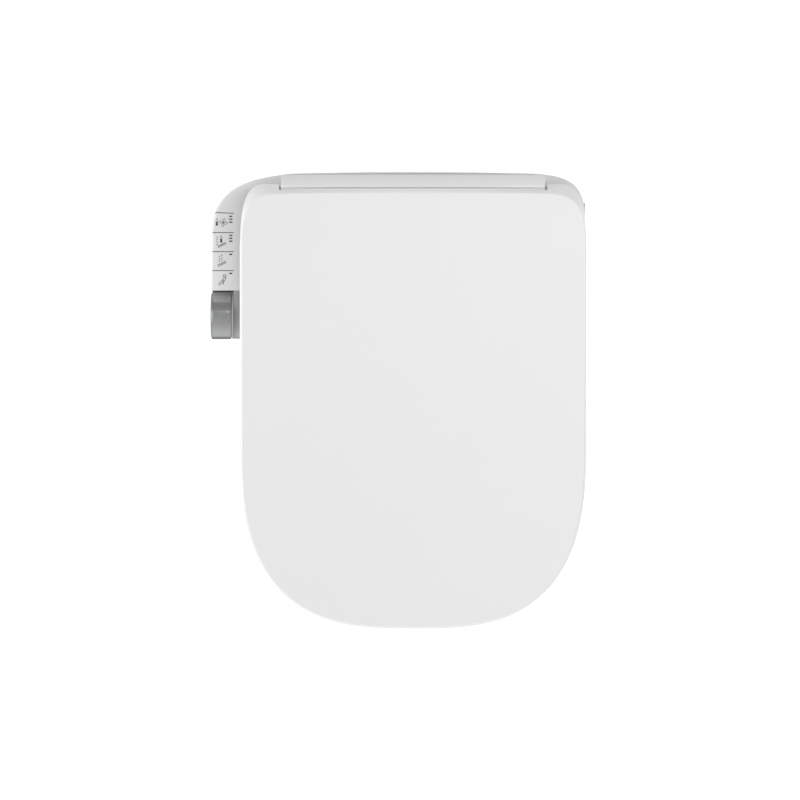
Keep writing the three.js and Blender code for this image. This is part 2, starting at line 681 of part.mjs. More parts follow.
const knobSolid = cut(
  turnedX(knobAxisY, knobAxisZ, [
    ...[0, 0.35, 0.65, 1].map((share) => [share * (knobRadius - knobChamfer), knobOuterX + knobCrown * share ** 2]),
    [knobRadius, knobOuterX + knobCrown + knobChamfer],
    [knobRadius, knobInnerX - knobChamfer], [knobRadius - knobChamfer, knobInnerX], [0, knobInnerX],
  ], 48),
  cut(rodX(knobAxisY, knobAxisZ, knobRadius - knobWall, knobOuterX + knobWall, knobInnerX + 1, 24),
    rodX(knobAxisY, knobAxisZ, shaftRadius + 2, knobOuterX, knobOuterX + 10, 14)),
  rodX(knobAxisY, knobAxisZ, shaftRadius + gap, knobOuterX + knobWall + gap, knobInnerX, 14));
const shaftSolid = turnedX(knobAxisY, knobAxisZ, [
  [0, knobOuterX + knobWall + 2 * gap], [shaftRadius, knobOuterX + knobWall + 2 * gap],
  [shaftRadius, cheekOuterX - 4], [0, cheekOuterX - 4],
], 14);
const encoderSolid = turnedX(knobAxisY, knobAxisZ, [
  [shaftRadius + gap, cheekOuterX - 11], [9, cheekOuterX - 11], [9, bezelOuterX],
  [encoderRadius, bezelOuterX], [encoderRadius, cheekOuterX - gap], [0, cheekOuterX - gap],
  [0, cheekOuterX - 2.4], [shaftRadius + gap, cheekOuterX - 2.4], [shaftRadius + gap, cheekOuterX - 11],
], 16);
const bezelSolid = turnedX(knobAxisY, knobAxisZ, [
  [encoderRadius + gap, bezelOuterX], [knobRadius - 0.4, bezelOuterX],
  [knobRadius - 0.4, cheekOuterX - gap], [encoderRadius + gap, cheekOuterX - gap],
  [encoderRadius + gap, bezelOuterX],
], 48);

addPiece('control_knob', knobSolid, satinMetal);
addPiece('knob_shaft', shaftSolid, steel);
addPiece('encoder_body', encoderSolid, darkPlastic);
addPiece('knob_bezel', bezelSolid, greyPlastic);

// ---------------------------------------------------------------- control arm electronics
const lightPipeZ = displayBoard.z + displayBoard.thickness + gap;
const pipeBack = block(lampX - 2.4, lampX + 2.4, Math.min(...lampRows) - 2, Math.max(...lampRows) + 2,
  lightPipeZ, deckTopZ - housingWall - gap);
const pipePosts = lampRows.map((y) => block(
  lampX - lampLength / 2, lampX + lampLength / 2, y - lampWidth / 2, y + lampWidth / 2,
  lightPipeZ + 1, deckTopZ));
addPiece('led_light_pipe', join(pipeBack, ...pipePosts), clearLens);

function circuitBoard({ x0, x1, y0, y1, z, thickness }, chips) {
  const base = plate(roundedRectangle(x0, x1, y0, y1, 2), z, z + thickness);
  return join(base, ...chips.map(([cx0, cx1, cy0, cy1, rise]) => (rise > 0
    ? block(cx0, cx1, cy0, cy1, z + thickness / 2, z + thickness + rise)
    : block(cx0, cx1, cy0, cy1, z + rise, z + thickness / 2))));
}

const displayChips = [[2, 9, 21, 29, -3], [6, 14, 3, 15, -4], [3, 14, 41, 49, -2]].map(
  ([left, right, front, back, rise]) => [displayBoard.x0 + left, displayBoard.x0 + right,
    displayBoard.y0 + front, displayBoard.y0 + back, rise]);
addPiece('display_board', circuitBoard(displayBoard, displayChips), boardGreen);
addPiece('main_circuit_board', circuitBoard(mainBoard, [
  [-38, -22, -44, -20, -8], [-10, 6, -30, -14, 4], [12, 30, -40, -26, 7], [-40, -30, -14, -4, 6],
  [-8, -2, -48, -42, 5], [10, 26, -8, 4, -6],
]), boardGreen);

// ---------------------------------------------------------------- bracket and its fasteners
const slotHalfLength = 15;
const slotHalfWidth = boltRadius + 1;
const boltHeadRadius = 9;
const boltHeadHeight = 4;
const nutThickness = 12;
const washerThickness = 10;

function buildBracket() {
  const profile = [
    [-bracketWaistHalfWidth, 0], [bracketWaistHalfWidth, 0], [bracketWaistHalfWidth, bracketWaistZ],
    [bracketHalfWidth, bracketWaistZ], [bracketHalfWidth, bracketTopZ],
    [-bracketHalfWidth, bracketTopZ], [-bracketHalfWidth, bracketWaistZ],
    [-bracketWaistHalfWidth, bracketWaistZ],
  ];
  let bracket = barY(profile, -bracketHalfDepth, bracketHalfDepth);
  for (const side of [1, -1]) {
    const x = side * boltSpacing / 2;
    const slot = (halfLength, halfWidth) =>
      roundedRectangle(x - halfLength, x + halfLength, -halfWidth, halfWidth, halfWidth - 0.01, 4);
    const headClear = boltHeadRadius + 1;
    bracket = cut(bracket,
      plate(slot(slotHalfLength, slotHalfWidth), -1, bracketTopZ),
      plate(slot(slotHalfLength + headClear - slotHalfWidth, headClear), bracketTopZ - boltHeadHeight - 2,
        bracketTopZ + 1));
  }
  // Lightening pockets between the bolts, open upwards.
  for (const x of [-30, 0, 30]) {
    for (const side of [-1, 1]) {
      const span = [side * 2, side * (bracketHalfDepth - 3)].sort((a, b) => a - b);
      bracket = cut(bracket, plate(roundedRectangle(x - 12, x + 12, ...span, 3, 2), 4, bracketTopZ + 1));
    }
  }
  return bracket;
}

addPiece('mounting_bracket', buildBracket(), greyPlastic);
const headSeatZ = bracketTopZ - boltHeadHeight - 2 + gap;
for (const [side, word] of [[-1, 'left'], [1, 'right']]) {
  const x = side * boltSpacing / 2;
  const nutTopZ = -bowlThickness - washerThickness - gap;
  addPiece(`mounting_bolt_${word}`, turned(x, 0, [
    [0, nutTopZ - nutThickness - 14], [boltRadius - 0.6, nutTopZ - nutThickness - 14],
    [boltRadius, nutTopZ - nutThickness - 13], [boltRadius, headSeatZ], [boltHeadRadius, headSeatZ],
    [boltHeadRadius, headSeatZ + boltHeadHeight - 1], [boltHeadRadius - 1.4, headSeatZ + boltHeadHeight],
    [0, headSeatZ + boltHeadHeight],
  ], 12), steel);
  addPiece(`rubber_washer_${word}`, turned(x, 0, [
    [boltRadius + gap, -bowlThickness], [7, -bowlThickness], [14, -bowlThickness - washerThickness],
    [boltRadius + gap, -bowlThickness - washerThickness], [boltRadius + gap, -bowlThickness],
  ], 14), blackRubber);
  const wing = plate(roundedRectangle(x - 20, x + 20, -2.5, 2.5, 2.4, 2), nutTopZ - nutThickness, nutTopZ - 3);
  const nutBody = rodZ(x, 0, 11, nutTopZ - nutThickness, nutTopZ, 14);
  addPiece(`wing_nut_${word}`, cut(join(wing, nutBody),
    rodZ(x, 0, boltRadius + gap, nutTopZ - nutThickness - 1, nutTopZ + 1, 12)), greyPlastic);
}

// ---------------------------------------------------------------- feet and bumpers
const footFrontX = housingHalfWidth - 33.6;
const footRearX = housingHalfWidth - 15.6;
const footPlaces = {
  foot_front_left: [-footFrontX, -60], foot_front_right: [footFrontX, -60],
  foot_rear_left: [-footRearX - 4, 8], foot_rear_right: [footRearX, 8],
};
for (const [name, [x, y]] of Object.entries(footPlaces)) {
  addPiece(name, turned(x, y, [[0, 0], [6.5, 0], [8, 1.2], [8, housingFloorZ - gap], [0, housingFloorZ - gap]], 12),
    blackRubber);
}
const frontBumperX = seatHalfWidth - 51.8;
const rearBumperX = seatHalfWidth - 37.8;
const seatBumperPlaces = {
  seat_bumper_front_left: [-frontBumperX, -330], seat_bumper_front_right: [frontBumperX, -330],
  seat_bumper_rear_left: [-rearBumperX, -150], seat_bumper_rear_right: [rearBumperX, -150],
};
const seatBumperRadius = 10;
for (const [name, [x, y]] of Object.entries(seatBumperPlaces)) {
  const top = seatBase(y - seatBumperRadius) - gap;
  addPiece(name, turned(x, y, [
    [0, 0], [seatBumperRadius - 2.5, 0], [seatBumperRadius - 0.8, 2.5], [seatBumperRadius, top], [0, top],
  ], 14), paleRubber);
}
for (const [side, word] of [[-1, 'left'], [1, 'right']]) {
  const foot = seatCrest(lidBumperY) + 0.5;
  const top = lidTop(lidBumperY - 7) - lidWall - gap;
  addPiece(`lid_bumper_${word}`, turned(side * lidBumperX, lidBumperY, [
    [0, foot], [4.6, foot], [6, foot + 2], [7, top], [0, top],
  ], 12), paleRubber);
}

// ---------------------------------------------------------------- hinge pins and dampers
const damperInnerX = 96;
const damperRadius = 11;
const pinEndX = seatEyeOuterX + runningGap + earWall;
for (const [side, word, damped] of [[-1, 'left', 'seat'], [1, 'right', 'lid']]) {
  const span = (a, b) => [Math.min(side * a, side * b), Math.max(side * a, side * b)];
  addPiece(`hinge_pin_${word}`, rodX(hingeY, hingeZ, hingePinRadius, ...span(damperInnerX + 6, pinEndX), 20), steel);
  const body = rodX(hingeY, hingeZ, damperRadius, ...span(damperInnerX, humpHalfLength - housingWall - gap), 24);
  const bore = rodX(hingeY, hingeZ, hingePinRadius + gap, ...span(damperInnerX + 5, humpHalfLength), 20);
  addPiece(`${damped}_damper`, cut(body, bore), darkPlastic);
}

// ---------------------------------------------------------------- spray wand, rack and pinion
const rackPitch = Math.PI * rackModule;
const pinionPitchRadius = rackModule * pinionTeeth / 2;
const pinionY = 26;
const pressureAngle = THREE.MathUtils.degToRad(20);
const backlash = 0.12;
const pinionCentre = rackRoot + dedendum + pinionPitchRadius + 0.05;
const pinionHalfWidth = 2.6;
const tipFrontY = -0.6;
const tipEndY = tipFrontY + tipLength;
const wandEndY = tipFrontY + wandLength;
const rackStartY = tipEndY + 3;

function rackProfile() {
  const rise = Math.tan(pressureAngle);
  const half = rackPitch / 4 - backlash / 4;
  const tipHalf = half - addendum * rise;
  const rootHalf = half + dedendum * rise;
  const tipHeight = rackRoot + dedendum + addendum;
  const first = Math.ceil((rackStartY - pinionY) / rackPitch + 0.5);
  const last = Math.floor((wandEndY - 1 - pinionY) / rackPitch - 0.5);
  const teeth = [];
  for (let k = first; k <= last; k++) {
    const y = pinionY + k * rackPitch;
    teeth.push([y - rootHalf, rackRoot], [y - tipHalf, tipHeight], [y + tipHalf, tipHeight], [y + rootHalf, rackRoot]);
  }
  return [[rackStartY, wandRadius - 2], [rackStartY, rackRoot], ...teeth, [wandEndY - 1, rackRoot],
    [wandEndY - 1, wandRadius - 2]];
}

function pinionProfile() {
  const involute = (angle) => Math.tan(angle) - angle;
  const baseRadius = pinionPitchRadius * Math.cos(pressureAngle);
  const halfAtPitch = Math.PI / (2 * pinionTeeth) - backlash / (4 * pinionPitchRadius);
  const tip = pinionPitchRadius + addendum;
  const root = pinionPitchRadius - dedendum;
  const flank = [0, 0.5, 1].map((t) => lerp(baseRadius, tip, t)).map((r) =>
    [r, halfAtPitch + involute(pressureAngle) - involute(Math.acos(Math.min(1, baseRadius / r)))]);
  flank.unshift([root, flank[0][1]]);
  const points = [];
  for (let k = 0; k < pinionTeeth; k++) {
    const middle = -Math.PI / 2 + (k + 0.5) * 2 * Math.PI / pinionTeeth;
    const put = (r, a) => points.push([pinionY + r * Math.cos(a), pinionCentre + r * Math.sin(a)]);
    flank.forEach(([r, half]) => put(r, middle - half));
    [...flank].reverse().forEach(([r, half]) => put(r, middle + half));
  }
  return points;
}

const motorShaftRadius = 1.5;
const motorFaceX = 8.6;
const motorRadius = 9.5;
const cradleHalfWidth = 8.3;
const channelRadius = wandRadius + gap;

const wandSolid = join(
  rodY(0, 0, wandRadius, tipEndY + gap, wandEndY, 18),
  barX(rackProfile(), -rackHalfWidth, rackHalfWidth));
const tipSolid = cut(
  join(rodY(0, 0, tipRadius, tipFrontY + 1, tipEndY, 20), rodY(0, 0, tipRadius - 1, tipFrontY, tipFrontY + 2, 20)),
  ...[5, 8, 11].map((y) => rodZ(0, y, 0.9, tipRadius - 1.5, tipRadius + 1, 8)));
const cradleSolid = (() => {
  const startY = tipEndY + 1.5;
  const trough = block(-cradleHalfWidth, cradleHalfWidth, startY, wandEndY + 3, -cradleHalfWidth, 1.5);
  const channel = join(rodY(0, 0, channelRadius, startY - 1, wandEndY + 1, 24),
    block(-channelRadius, channelRadius, startY - 1, wandEndY + 1, 0, 3));
  const motorPlate = block(cradleHalfWidth - 2, cradleHalfWidth, pinionY - 9, pinionY + 9, 0,
    pinionCentre - motorShaftRadius - 2);
  return tilted(cut(join(trough, motorPlate), channel));
})();
const cradleLegs = [
  block(-7, 7, -46, -38, housingFloorZ + housingWall + gap, 15),
  block(-7, 7, 18, 26, channelTopZ + housingWall + gap, 32),
];
const motorSolid = join(
  rodX(pinionY, pinionCentre, motorRadius, motorFaceX + 2, motorFaceX + 16, 24),
  block(motorFaceX, motorFaceX + 2.5, pinionY - 11, pinionY + 11, -2, pinionCentre + 8),
  rodX(pinionY, pinionCentre, motorShaftRadius, -pinionHalfWidth, motorFaceX + 3, 16));
const pinionSolid = cut(barX(pinionProfile(), -pinionHalfWidth, pinionHalfWidth),
  rodX(pinionY, pinionCentre, motorShaftRadius + gap, -10, 10, 16));

addPiece('nozzle_wand', tilted(wandSolid), satinMetal);
addPiece('nozzle_tip', tilted(tipSolid), whiteMatt);
addPiece('nozzle_cradle', join(cradleSolid, ...cradleLegs), greyPlastic);
addPiece('nozzle_motor', tilted(motorSolid), steel);
addPiece('nozzle_pinion', tilted(pinionSolid), whiteMatt);

// ---------------------------------------------------------------- water and power
const raisedFloorZ = channelTopZ + housingWall;
const lowFloorZ = housingFloorZ + housingWall;

function buildHeater() {
  const [x0, x1, y0, y1] = [-100, -60, -32, 24];
  const bottom = raisedFloorZ + gap;
  const top = 66;
  let heater = plate(roundedRectangle(x0 + 2, x1 - 2, y0 + 2, y1 - 2, 5, 2), bottom, top);
  for (let z = bottom + 4; z < top - 2; z += 11) {
    heater = join(heater, plate(roundedRectangle(x0, x1, y0, y1, 6, 2), z, z + 2.5));
  }
  return join(heater, rodZ(-90, -20, 4, top - 1, top + 7, 16), rodZ(-70, 12, 4, top - 1, top + 7, 16));
}

function buildPowerSupply() {
  const x0 = 9.6 - housingHalfWidth;
  const [x1, y0, y1] = [x0 + 44, -66, -10];
  const bottom = lowFloorZ + gap;
  const body = plate(roundedRectangle(x0 + 2, x1 - 2, y0 + 2, y1 - 2, 4), bottom, 39);
  const flange = plate(roundedRectangle(x0, x1, y0, y1, 4), bottom, bottom + 3);
  const terminals = block(x0 + 8, x1 - 8, y1 - 3, y1 + 5, bottom, 22);
  return join(body, flange, terminals);
}

const valveBottom = lowFloorZ + 5;
const unionFlangeRadius = 14;
const unionBottomZ = -16;
function buildValve() {
  const body = plate(roundedRectangle(unionAt.x - 14, unionAt.x + 14, unionAt.y - 12, unionAt.y + 14, 3),
    valveBottom, 31);
  return join(body, rodZ(unionAt.x, unionAt.y, 9, 30, deckTopZ - housingWall - gap, 20),
    rodX(unionAt.y, 22, 4.5, unionAt.x + 13, unionAt.x + 22, 16));
}

addPiece('water_heater', buildHeater(), whiteMatt);
addPiece('power_supply', buildPowerSupply(), darkPlastic);
addPiece('inlet_valve', buildValve(), greyPlastic);
addPiece('inlet_union', turned(unionAt.x, unionAt.y, [
  [0, valveBottom - gap], [unionFlangeRadius, valveBottom - gap], [unionFlangeRadius, lowFloorZ + gap],
  [unionAt.radius, lowFloorZ + gap], [unionAt.radius, unionBottomZ + 1], [unionAt.radius - 1, unionBottomZ],
  [unionAt.radius - 4, unionBottomZ], [unionAt.radius - 4, -2], [0, -2],
], 20), steel);
addPiece('inlet_strainer', turned(unionAt.x, unionAt.y, [
  [0, -2 - gap], [4, -2 - gap], [unionAt.radius - 4 - gap, -12], [unionAt.radius - 4 - gap, -14],
  [unionAt.radius - 5.2, -14], [unionAt.radius - 5.2, -12], [3, -3.5], [0, -3.5],
], 12), greyPlastic);
addPiece('cable_gland', turned(glandAt.x, glandAt.y, [
  [3.6, 0.6], [glandAt.radius, 0.6], [glandAt.radius, lowFloorZ + gap], [glandAt.radius + 3, lowFloorZ + gap],
  [glandAt.radius + 3, lowFloorZ + 3], [3.6, lowFloorZ + 3], [3.6, 0.6],
], 14), blackRubber);

// ---------------------------------------------------------------- warm air dryer
const blowerAt = { x: 66, y: 0 };
const blowerBottom = raisedFloorZ + gap;
const blowerTop = blowerBottom + blowerHeight;
const ductBackY = -36;
const outletX = [blowerAt.x + 13, blowerAt.x + blowerRadius + 2];

// The scroll widens clockwise towards its outlet, which faces forward.
function scrollOutline(shrink) {
  const turns = Array.from({ length: 19 }, (_, i) => {
    const angle = -2 * Math.PI * i / 20 - 0.2;
    const radius = lerp(blowerRadius - 7, blowerRadius + 2, i / 18) - shrink;
    return [blowerAt.x + radius * Math.cos(angle), blowerAt.y + radius * Math.sin(angle)];
  });
  return turns;
}

const wheelRadius = 23;
const blowerWallThickness = 2;

function buildBlowerHousing() {
  const outletTop = blowerTop - 1;
  const shape = join(plate(scrollOutline(0), blowerBottom, blowerTop),
    block(...outletX, ductBackY + gap, 0, blowerBottom, outletTop));
  const hollow = join(plate(scrollOutline(blowerWallThickness), blowerBottom + 2, blowerTop - 2),
    block(outletX[0] + 2, outletX[1] - 2, ductBackY - 1, 0, blowerBottom + 2, outletTop - 2));
  const motorHole = rodZ(blowerAt.x, blowerAt.y, 4, blowerTop - 3, blowerTop + 1, 12);
  const intake = rodZ(blowerAt.x, blowerAt.y, 16, blowerTop - 3, blowerTop + 1, 20);
  const spokes = [0, 60, 120].map((turn) => toSolid(new THREE.BoxGeometry(36, 3, 2)
    .rotateZ(THREE.MathUtils.degToRad(turn)).translate(blowerAt.x, blowerAt.y, blowerTop - 1)));
  const hub = rodZ(blowerAt.x, blowerAt.y, 9, blowerTop - 2, blowerTop, 12);
  return cut(join(cut(shape, hollow, intake), ...spokes, hub), motorHole);
}

const wheelBlades = 10;
const wheelBottom = blowerBottom + 4;
const wheelTop = blowerTop - 5;
const blowerShaftRadius = 2;

function buildBlowerWheel() {
  const disc = rodZ(blowerAt.x, blowerAt.y, wheelRadius, wheelBottom, wheelBottom + 2, 20);
  const ring = cut(rodZ(blowerAt.x, blowerAt.y, wheelRadius, wheelTop - 2, wheelTop, 20),
    rodZ(blowerAt.x, blowerAt.y, wheelRadius - 4, wheelTop - 3, wheelTop + 1, 20));
  const hub = rodZ(blowerAt.x, blowerAt.y, 5, wheelBottom, wheelTop - 4, 16);
  const blades = Array.from({ length: wheelBlades }, (_, i) => {
    const angle = 2 * Math.PI * i / wheelBlades;
    return toSolid(new THREE.BoxGeometry(4.4, 0.9, wheelTop - wheelBottom - 2)
      .rotateZ(0.7).translate(wheelRadius - 2.3, 0, (wheelTop + wheelBottom) / 2)
      .rotateZ(angle).translate(blowerAt.x, blowerAt.y, 0));
  });
  return cut(join(disc, ring, hub, ...blades),
    rodZ(blowerAt.x, blowerAt.y, blowerShaftRadius + gap, wheelBottom + 2, wheelTop, 16));
}

// A hollow duct between two rectangles, each [x0, x1, z0, z1], open at both ends.
function ductBetween(backY, back, frontY, front, wall) {
  const hull = (shrink, reach) => {
    const at = (y, [x0, x1, z0, z1]) => [
      [x0 + shrink, y, z0 + shrink], [x1 - shrink, y, z0 + shrink],
      [x1 - shrink, y, z1 - shrink], [x0 + shrink, y, z1 - shrink]];
    const share = reach / (backY - frontY);
    const stretch = (a, b) => b.map((v, i) => v + (v - a[i]) * share);
    const points = [...at(backY + reach, stretch(front, back)), ...at(frontY - reach, stretch(back, front))];
    const quads = [[0, 1, 2, 3], [7, 6, 5, 4], ...[0, 1, 2, 3].map((i) => [i, i + 4, (i + 1) % 4 + 4, (i + 1) % 4])];
    return meshFromQuads(points, quads);
  };
  return cut(hull(0, 0), hull(wall, 1));
}

addPiece('blower_housing', buildBlowerHousing(), greyPlastic);
addPiece('blower_wheel', buildBlowerWheel(), darkPlastic);
addPiece('blower_motor', join(
  rodZ(blowerAt.x, blowerAt.y, 13, blowerTop + gap + 4, blowerTop + 22, 24),
  rodZ(blowerAt.x, blowerAt.y, 8, blowerTop + gap, blowerTop + 6, 24),
  rodZ(blowerAt.x, blowerAt.y, blowerShaftRadius, wheelBottom + 3, blowerTop + 2, 16)), steel);
addPiece('dryer_duct', ductBetween(ductBackY, [outletX[0], outletX[1], blowerBottom, blowerTop - 1],
  housingFrontY + housingWall + gap, [dryer.x0 - 2, dryer.x1 + 2, lowFloorZ + gap, dryer.z1 + 2], 2), greyPlastic);

const flapThickness = 2;
const flapPivotY = housingFrontY + 1;
const flapPivotZ = dryer.z1 - 1 - gap;
addPiece('dryer_flap', barX([
  ...arc(flapPivotY, flapPivotZ, flapThickness / 2, 0, 180, 6),
  [flapPivotY - flapThickness / 2, dryer.z0 + gap], [flapPivotY + flapThickness / 2, dryer.z0 + gap],
], dryer.x0 + gap, dryer.x1 - gap), whiteShell);

// ---------------------------------------------------------------- filter cartridge and release button
function buildFilter() {
  const y0 = filterBay.y0 + gap;
  const y1 = filterBay.y1 - gap;
  const z0 = filterBay.z0 + gap;
  const z1 = filterBay.z1 - gap;
  const outerX = housingHalfWidth - 0.2;
  const body = block(outerX - filterLength, outerX, y0, y1, z0, z1);
  const pockets = [0, 1, 2].map((i) => {
    const x0 = outerX - filterLength + 4 + 16.5 * i;
    return block(x0, x0 + 14, y0 + 4, y1 - 4, z0 + 3, z1 + 1);
  });
  const fingerSlot = block(outerX - 2.4, outerX + 1, y0 + 10, y1 - 10, z1 - 7, z1 - 3.5);
  return cut(body, ...pockets, fingerSlot);
}
addPiece('odour_filter', buildFilter(), charcoal);

addPiece('release_button', barX(
  roundedRectangle(release.y0 + gap, release.y1 - gap, release.z0 + gap, release.z1 - gap, 1.5, 3),
  housingHalfWidth - 16, housingHalfWidth + 0.6), greyPlastic);

export default bidetSeat;
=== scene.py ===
"""Electric bidet seat: a wide soft-close lid over a heated ring, on a rear housing with a control arm.

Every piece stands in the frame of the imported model, in metres: +X to the right seen from above, +Y to
the rear, +Z up. Main shells are modelled here as smooth meshes over their construction solids; the
remaining construction nodes stay as they are and take their finishes here. Sizes are in millimetres up
to Form and the places that pieces are turned at, which give metres.
"""

import json
import logging
from dataclasses import dataclass, field
from enum import Enum
from math import ceil, copysign, cos, dist, floor, hypot, pi, radians, sin, sqrt, tan
from typing import Callable, Dict, Iterable, List, Sequence, Tuple, Union

import bmesh
import bpy
from mathutils import Matrix, Vector

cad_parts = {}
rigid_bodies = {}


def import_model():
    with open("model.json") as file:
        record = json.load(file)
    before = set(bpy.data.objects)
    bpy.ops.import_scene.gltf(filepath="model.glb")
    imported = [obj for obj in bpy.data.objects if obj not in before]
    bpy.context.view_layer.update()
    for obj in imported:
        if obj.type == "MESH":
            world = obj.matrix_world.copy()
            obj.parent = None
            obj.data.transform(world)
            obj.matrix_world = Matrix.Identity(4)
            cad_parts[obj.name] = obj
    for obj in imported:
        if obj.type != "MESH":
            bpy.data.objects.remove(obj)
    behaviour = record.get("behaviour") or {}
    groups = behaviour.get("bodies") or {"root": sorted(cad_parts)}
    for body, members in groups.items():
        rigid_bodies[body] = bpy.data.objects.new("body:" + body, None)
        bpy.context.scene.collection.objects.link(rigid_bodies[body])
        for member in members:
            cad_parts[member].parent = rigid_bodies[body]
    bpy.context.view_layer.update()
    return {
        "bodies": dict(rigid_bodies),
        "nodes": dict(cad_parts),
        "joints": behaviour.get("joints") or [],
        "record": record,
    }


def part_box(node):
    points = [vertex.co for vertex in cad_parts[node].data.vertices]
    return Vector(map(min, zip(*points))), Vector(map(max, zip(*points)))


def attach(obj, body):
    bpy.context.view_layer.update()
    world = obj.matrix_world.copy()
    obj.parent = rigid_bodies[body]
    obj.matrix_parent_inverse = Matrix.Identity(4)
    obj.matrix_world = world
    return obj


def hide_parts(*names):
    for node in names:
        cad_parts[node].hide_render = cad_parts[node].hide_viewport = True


LOG = logging.getLogger("bidet_seat")
MM = 0.001  # metres
BEYOND = 110  # a height above every piece, where cutters end
GAP = 0.3  # clearance between pieces
Point2 = Tuple[float, float]
Point3 = Tuple[float, float, float]
Outline = Sequence[Point2]
Number = Union[int, float]


# --- shader arithmetic
class Channel:
    """One output of a shader node, used in plain Python arithmetic."""

    def __init__(self, sheet: "ShaderSheet", socket: bpy.types.NodeSocket) -> None:
        """Keeps the sheet that holds the node and the socket that carries the value."""
        self.sheet = sheet
        self.socket = socket

    def _math(self, operation: str, first: "Operand", second: "Operand") -> "Channel":
        """Returns the result of a Math node with this operation and these operands."""
        node = self.sheet.node("ShaderNodeMath", {"operation": operation}, {0: first, 1: second})
        return self.sheet.output(node, "Value")

    def __add__(self, other: "Operand") -> "Channel":
        """Returns self + other."""
        return self._math("ADD", self, other)

    def __radd__(self, other: "Operand") -> "Channel":
        """Returns other + self."""
        return self._math("ADD", other, self)

    def __sub__(self, other: "Operand") -> "Channel":
        """Returns self - other."""
        return self._math("SUBTRACT", self, other)

    def __rsub__(self, other: "Operand") -> "Channel":
        """Returns other - self."""
        return self._math("SUBTRACT", other, self)

    def __mul__(self, other: "Operand") -> "Channel":
        """Returns self * other."""
        return self._math("MULTIPLY", self, other)

    def __rmul__(self, other: "Operand") -> "Channel":
        """Returns other * self."""
        return self._math("MULTIPLY", other, self)


Operand = Union[Channel, Number]


class ShaderSheet:
    """One material's node tree, with its Principled shader already linked to the output."""

    def __init__(self, name: str) -> None:
        """Makes the material.

        Args:
            name: The material's name.
        """
        self.material = bpy.data.materials.new(name)
        self.material.use_nodes = True
        self.tree = self.material.node_tree
        self.tree.nodes.clear()
        self.shader = self.node("ShaderNodeBsdfPrincipled", {}, {})
        self.node("ShaderNodeOutputMaterial", {}, {"Surface": self.output(self.shader, "BSDF")})

    @classmethod
    def over(cls, tree: bpy.types.NodeTree) -> "ShaderSheet":
        """Returns a sheet over a tree that exists already."""
        sheet = cls.__new__(cls)
        sheet.tree = tree
        return sheet

    def node(self, kind: str, settings: Dict[str, object], inputs: Dict[object, object]) -> bpy.types.Node:
        """Adds a node of any type.

        Args:
            kind: The node's type.
            settings: Properties set first; "stops" lists a colour ramp's (position, grey or colour) pairs.
            inputs: Socket name or number to a value or a Channel.

        Returns:
            The node.
        """
        node = self.tree.nodes.new(kind)
        for key, value in settings.items():
            if key == "stops":
                self._set_stops(node, value)
            else:
                setattr(node, key, value)
        self.feed(node, inputs)
        return node

    def feed(self, node: bpy.types.Node, inputs: Dict[object, object]) -> None:
        """Sets or links a node's sockets."""
        for key, value in inputs.items():
            if isinstance(value, Channel):
                self.tree.links.new(value.socket, node.inputs[key])
            else:
                node.inputs[key].default_value = value

    @staticmethod
    def _set_stops(node: bpy.types.Node, stops: Sequence[Tuple[float, object]]) -> None:
        """Sets a colour ramp's stops.

        Args:
            node: The ramp node.
            stops: Pairs of position and either a grey or a colour.
        """
        ramp = node.color_ramp
        while len(ramp.elements) < len(stops):
            ramp.elements.new(1.0)
        for element, (position, colour) in zip(ramp.elements, stops):
            element.position = position
            element.color = rgba(colour)

    def output(self, node: bpy.types.Node, name: str) -> Channel:
        """Returns a node's output as a channel."""
        return Channel(self, node.outputs[name])

    def coordinates(self, stretch: Point3 = (1.0, 1.0, 1.0)) -> Channel:
        """Gives the piece's own coordinates.

        Args:
            stretch: Scale along each axis, so that a pattern can be drawn out along one of them.

        Returns:
            The coordinate vector.
        """
        source = self.output(self.node("ShaderNodeTexCoord", {}, {}), "Object")
        mapping = self.node("ShaderNodeMapping", {}, {"Vector": source, "Scale": stretch})
        return self.output(mapping, "Vector")

    def noise(self, vector: Channel, scale: float, detail: float = 2.0, roughness: float = 0.5) -> Channel:
        """Returns a noise about 0.5, with scale in cells per metre and detail in octaves."""
        node = self.node("ShaderNodeTexNoise", {"noise_dimensions": "3D"},
                         {"Vector": vector, "Scale": scale, "Detail": detail, "Roughness": roughness})
        return self.output(node, "Fac")

    def mix(self, factor: Operand, low: object, high: object) -> Channel:
        """Returns low mixed towards high by a factor; each is a colour or a channel."""
        node = self.node("ShaderNodeMix", {"data_type": "RGBA"},
                         {0: factor, 6: self._colour(low), 7: self._colour(high)})
        return Channel(self, node.outputs[2])

    @staticmethod
    def _colour(value: object) -> object:
        """Returns a channel as it is and anything else as four numbers."""
        return value if isinstance(value, Channel) else rgba(value)

    def ramp(self, factor: Channel, stops: Sequence[Tuple[float, object]]) -> Channel:
        """Turns a value into a grey by a ramp with these stops."""
        node = self.node("ShaderNodeValToRGB", {"stops": stops}, {"Fac": factor})
        return self.output(node, "Color")

    def bump(self, height: Operand, distance: float, strength: float = 1.0) -> Channel:
        """Returns a normal from a height of 0 to 1, where distance is what 1 stands for, in metres."""
        node = self.node("ShaderNodeBump", {}, {"Height": height, "Distance": distance, "Strength": strength})
        return self.output(node, "Normal")

    def shade(self, inputs: Dict[str, object]) -> None:
        """Sets or links the Principled shader's sockets."""
        self.feed(self.shader, inputs)


def rgba(colour: object) -> Tuple[float, float, float, float]:
    """Returns a grey, three or four numbers as a colour with alpha."""
    if isinstance(colour, (int, float)):
        return (float(colour), float(colour), float(colour), 1.0)
    values = tuple(float(part) for part in colour)
    return values if len(values) == 4 else (*values, 1.0)


